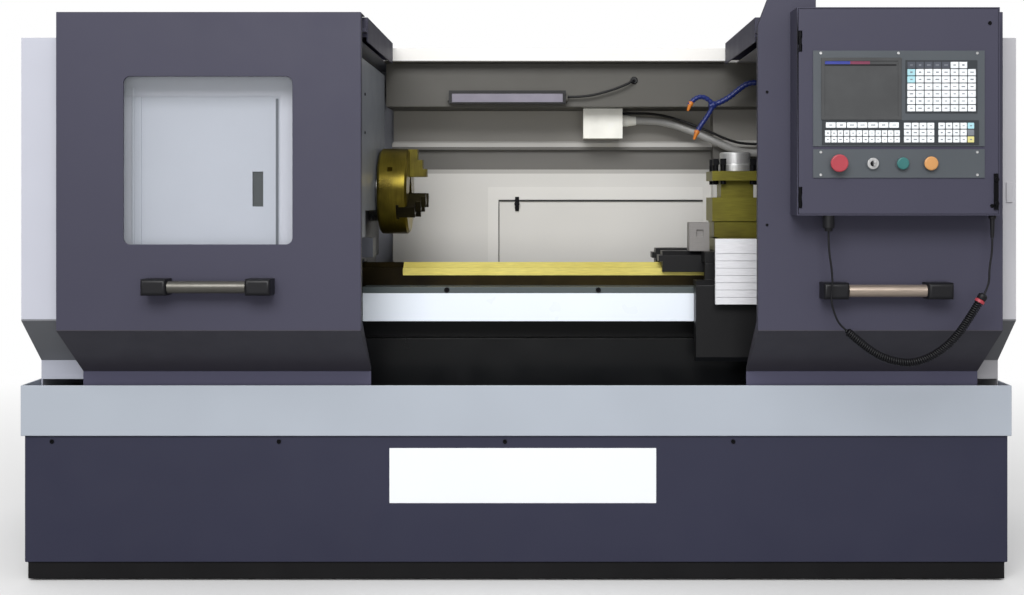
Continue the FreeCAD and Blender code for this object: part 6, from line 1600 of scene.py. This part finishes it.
@dataclass
class ControlBox:
    """The control box on the right door: its lid with screen, keys and buttons."""

    skins: tuple[Skin, ...] = (
        Skin("control_box", SLATE, 0.0015), Skin("control_lid", SLATE, 0.0008),
        Skin("screen", SCREEN_GREY, 0.0006), Skin("estop_button", BUTTON_RED, 0.0015),
        Skin("start_button", BUTTON_GREEN, 0.001), Skin("stop_button", BUTTON_ORANGE, 0.0006),
        Skin("key_switch", PLATED_STEEL, 0.0004), Skin("panel_latch", BLACK_OXIDE, 0.001),
        Skin("cord_fittings", BLACK_PLASTIC, 0.0005))
    socket: Box = ((0.7, -0.65, 0.9), (0.8, -0.58, 0.9441))
    plates: Box = ((0.70, -0.64, 1.03), (1.13, -0.6203, 1.34))
    hinge: Box = ((0.676, -0.63, 0.95), (0.689, -0.6165, 1.40))
    lid_face: float = -0.620
    plate_face: float = -0.623
    pad_face: float = -0.625
    lid_screws: tuple[Pair, ...] = ((1.135, 1.403), (1.140, 0.967))
    plate_screws: tuple[Pair, ...] = ((0.731, 1.331), (0.916, 1.331), (1.104, 1.331), (0.731, 1.095),
                                      (1.104, 1.095), (0.731, 1.041), (1.104, 1.041))
    key_face: Point = (0.855, -0.629, 1.068)
    key_core: tuple[Pair, ...] = ((-0.0005, 0.007), (0.0006, 0.007), (0.001, 0.0062))
    print_left: float = 0.741
    print_right: float = 0.911
    print_top: float = 1.3125
    print_low: float = 1.3045
    print_line: float = 1.3005
    print_split: float = 0.801
    print_end: float = 0.848
    print_thick: float = 0.0003
    print_edge: float = 0.0001
    pad_low: Pair = (0.933, 1.188)
    pad_high: Pair = (1.104, 1.314)
    pad_margin: float = 0.003
    pad_columns: int = 8
    pad_rows: int = 7
    # Each field of the pad: its name, its caps, its first and next column, its first and next row.
    pad_fields: tuple[tuple[str, Finish, int, int, int, int], ...] = (
        ("pad_dark_row", KEY_DARK, 0, 5, 6, 7), ("pad_top_row", KEY_WHITE, 5, 7, 6, 7),
        ("pad_cyan", KEY_CYAN, 0, 1, 4, 6), ("pad_upper", KEY_WHITE, 1, 8, 4, 6),
        ("pad_lower", KEY_WHITE, 0, 8, 0, 4))
    strip_low: Pair = (0.734, 1.112)
    strip_high: Pair = (1.108, 1.171)
    # Each field of the strip: its name, its caps, its left, right, low and high side, its columns and rows.
    strip_fields: tuple[tuple[str, Finish, float, float, float, float, int, int], ...] = (
        ("strip_round", KEY_WHITE, 0.008, 0.184, 0.040, 0.055, 7, 1),
        ("strip_wide", KEY_WHITE, 0.006, 0.186, 0.005, 0.036, 12, 2),
        ("strip_middle", KEY_WHITE, 0.194, 0.268, 0.005, 0.054, 4, 3),
        ("strip_right", KEY_WHITE, 0.276, 0.3456, 0.005, 0.054, 4, 3),
        ("strip_cyan", KEY_CYAN, 0.3456, 0.363, 0.0377, 0.054, 1, 1),
        ("strip_grey", MARK_GREY, 0.3456, 0.363, 0.0213, 0.0377, 1, 1),
        ("strip_yellow", KEY_YELLOW, 0.3456, 0.363, 0.005, 0.0213, 1, 1))

    def build(self, screws: ScrewHeads, keys: KeyField) -> None:
        """Dress the box and its lid, then set its screws, its screen strip and its keys.

        Args:
            screws: the tree that sets screw heads.
            keys: the tree that sets key caps.
        """
        pieces = clothed(self.skins)
        repaint(pieces["control_box"], BLACK_PLASTIC, self.socket)
        repaint(pieces["control_lid"], PLATE_GREY, self.plates)
        for node in ("control_box", "control_lid"):
            repaint(pieces[node], BLACK_OXIDE, self.hinge)
        spots = [(x, self.plate_face, z) for x, z in self.plate_screws]
        screws.scatter("plate_screws", Head.CONTROL_PLATE, spots, "control_lid", finish=PLATED_STEEL)
        spots = [(x, self.lid_face, z) for x, z in self.lid_screws]
        screws.scatter("lid_screws", Head.CONTROL_LID, spots, "control_lid")
        core = turned("key_switch_core", BLACK_OXIDE, self.key_core, self.key_face, FORWARD, sides=24)
        settle(core, body_of("key_switch"), "black_steel")
        self.screen_print()
        self.key_films(keys)

    def screen_print(self) -> None:
        """A plain coloured strip along the top of the screen, with a black line below it."""
        front = self.pad_face - self.print_thick
        low, top = self.print_low, self.print_top
        fields = (("title_blue", STRIP_BLUE, self.print_left, self.print_split, low, top),
                  ("title_red", STRIP_RED, self.print_split, self.print_end, low, top),
                  ("title_line", STRIP_BLACK, self.print_left, self.print_right, self.print_line, low))
        parts = [plate(name, finish, (left, front, under), (right, self.pad_face, over), self.print_edge)
                 for name, finish, left, right, under, over in fields]
        settle(joined("screen_title", parts), "control_lid", "screen_glass")

    def key_films(self, keys: KeyField) -> None:
        """Lay the keypad beside the screen and the long key strip below it.

        Args:
            keys: the tree that sets key caps.
        """
        left, low = self.pad_low
        right, high = self.pad_high
        wide = (right - left - 2 * self.pad_margin) / self.pad_columns
        tall = (high - low - 2 * self.pad_margin) / self.pad_rows
        x, z = left + self.pad_margin, low + self.pad_margin
        parts = [plate("pad_film", PAD_DARK, (left, self.pad_face, low), (right, self.plate_face, high))]
        for name, finish, first, next_one, under, over in self.pad_fields:
            parts.append(keys.keys(name, finish, (x + first * wide, z + under * tall),
                                   (x + next_one * wide, z + over * tall), next_one - first, over - under,
                                   self.pad_face))
        left, low = self.strip_low
        right, high = self.strip_high
        parts.append(plate("strip_film", PAD_DARK, (left, self.pad_face, low),
                           (right, self.plate_face, high)))
        for name, finish, x0, x1, z0, z1, columns, rows in self.strip_fields:
            parts.append(keys.keys(name, finish, (left + x0, low + z0), (left + x1, low + z1), columns, rows,
                                   self.pad_face))
        settle(joined("key_films", parts), "control_lid", "key_plastic", "keypads")


@dataclass
class CurlyCord:
    """The curly cord that hangs under the control box: plain lead, helix, plain lead, as one line."""

    lead_in: tuple[Point, ...] = ((753, -607, 906), (753, -607, 872), (757, -608, 838), (762, -608, 804),
                                  (762, -608, 770), (759, -607, 739), (766, -607, 712), (777.2, -607, 685.5))
    line: tuple[Point, ...] = ((794, -607, 670), (838, -607, 631), (881, -607, 603), (938, -607, 589),
                               (981, -607, 597), (1023, -607, 620), (1060, -607, 654), (1091, -607, 699),
                               (1117, -607, 742))
    lead_out: tuple[Point, ...] = ((1129.3, -607, 761.2), (1138, -607, 786), (1138, -606, 808),
                                   (1141, -605, 832), (1146, -604, 858), (1146, -604, 890))
    wire: float = 0.0024
    reach: float = 0.0081
    curls: int = 74
    points_a_curl: int = 12
    opening_curls: float = 1.5
    fineness: int = 3
    roundness: int = 2
    cap: tuple[Pair, ...] = ((0.0, 0.00336), (0.0, 0.01035), (0.002, 0.0115), (0.012, 0.0115),
                             (0.016, 0.0069))
    ring: tuple[Pair, ...] = ((0.0, 0.010925), (0.001, 0.01196), (0.007, 0.01196), (0.008, 0.010925))
    ring_back: float = 0.0082

    def helix(self) -> list[Point]:
        """Wind the curls about the smooth middle line, opening out of it and closing into it.

        Returns:
            The curls' points in order, in metres.
        """
        core = read_line(metres(self.line))
        total = length_of(core)
        steps = self.curls * self.points_a_curl
        walked = [0.0]
        for one, two in zip(core, core[1:]):
            walked.append(walked[-1] + (two - one).length)
        points = []
        at = 0
        for step in range(steps + 1):
            along = total * step / steps
            while at < len(core) - 2 and walked[at + 1] < along:
                at += 1
            share = (along - walked[at]) / (walked[at + 1] - walked[at])
            middle = core[at].lerp(core[at + 1], min(1.0, share))
            way = (core[min(at + 2, len(core) - 1)] - core[max(at - 1, 0)]).normalized()
            out = Vector(BACKWARD)
            side = way.cross(out)
            turn = math.tau * step / self.points_a_curl
            opened = min(1.0, step / self.points_a_curl / self.opening_curls,
                         (steps - step) / self.points_a_curl / self.opening_curls)
            # A smooth step, so that the curls open and close without a kink.
            reach = self.reach * opened ** 2 * (3 - 2 * opened)
            points.append(tuple(middle + (out * math.cos(turn) + side * math.sin(turn)) * reach))
        return points

    def build(self) -> None:
        """Lay the cord and set the end cap with its red ring where the curls end."""
        points = [*metres(self.lead_in), *self.helix(), *metres(self.lead_out)]
        cord = cable("curly_cord", points, self.wire, SHEATH_BLACK, self.fineness, self.roundness)
        settle(cord, "right_door", "cable_sheath", "cord_coil", "cord_leads")
        before, last = (Vector(point) for point in metres(self.line)[-2:])
        way = (last - before).normalized()
        cap = turned("cord_end_cap", BLACK_PLASTIC, self.cap, last, way)
        ring = turned("cord_end_ring", RING_RED, self.ring, last - way * self.ring_back, way)
        settle(cap, "right_door", "black_plastic")
        settle(ring, "right_door", "red_plastic")


def main() -> None:
    """Build the machine's sub-assemblies in order and report each one."""
    logging.basicConfig(level=logging.INFO, format="%(name)s: %(message)s")
    Studio().build()
    screws, keys, links = ScrewHeads(), KeyField(), HoseLinks()
    Base().build(screws)
    Drive().build()
    Carriage().build(links)
    Tailstock().build()
    Enclosure().build(screws)
    AccessPanel().build()
    Wiring().build()
    Doors().build(screws)
    ControlBox().build(screws, keys)
    CurlyCord().build()


if __name__ == "__main__":
    main()
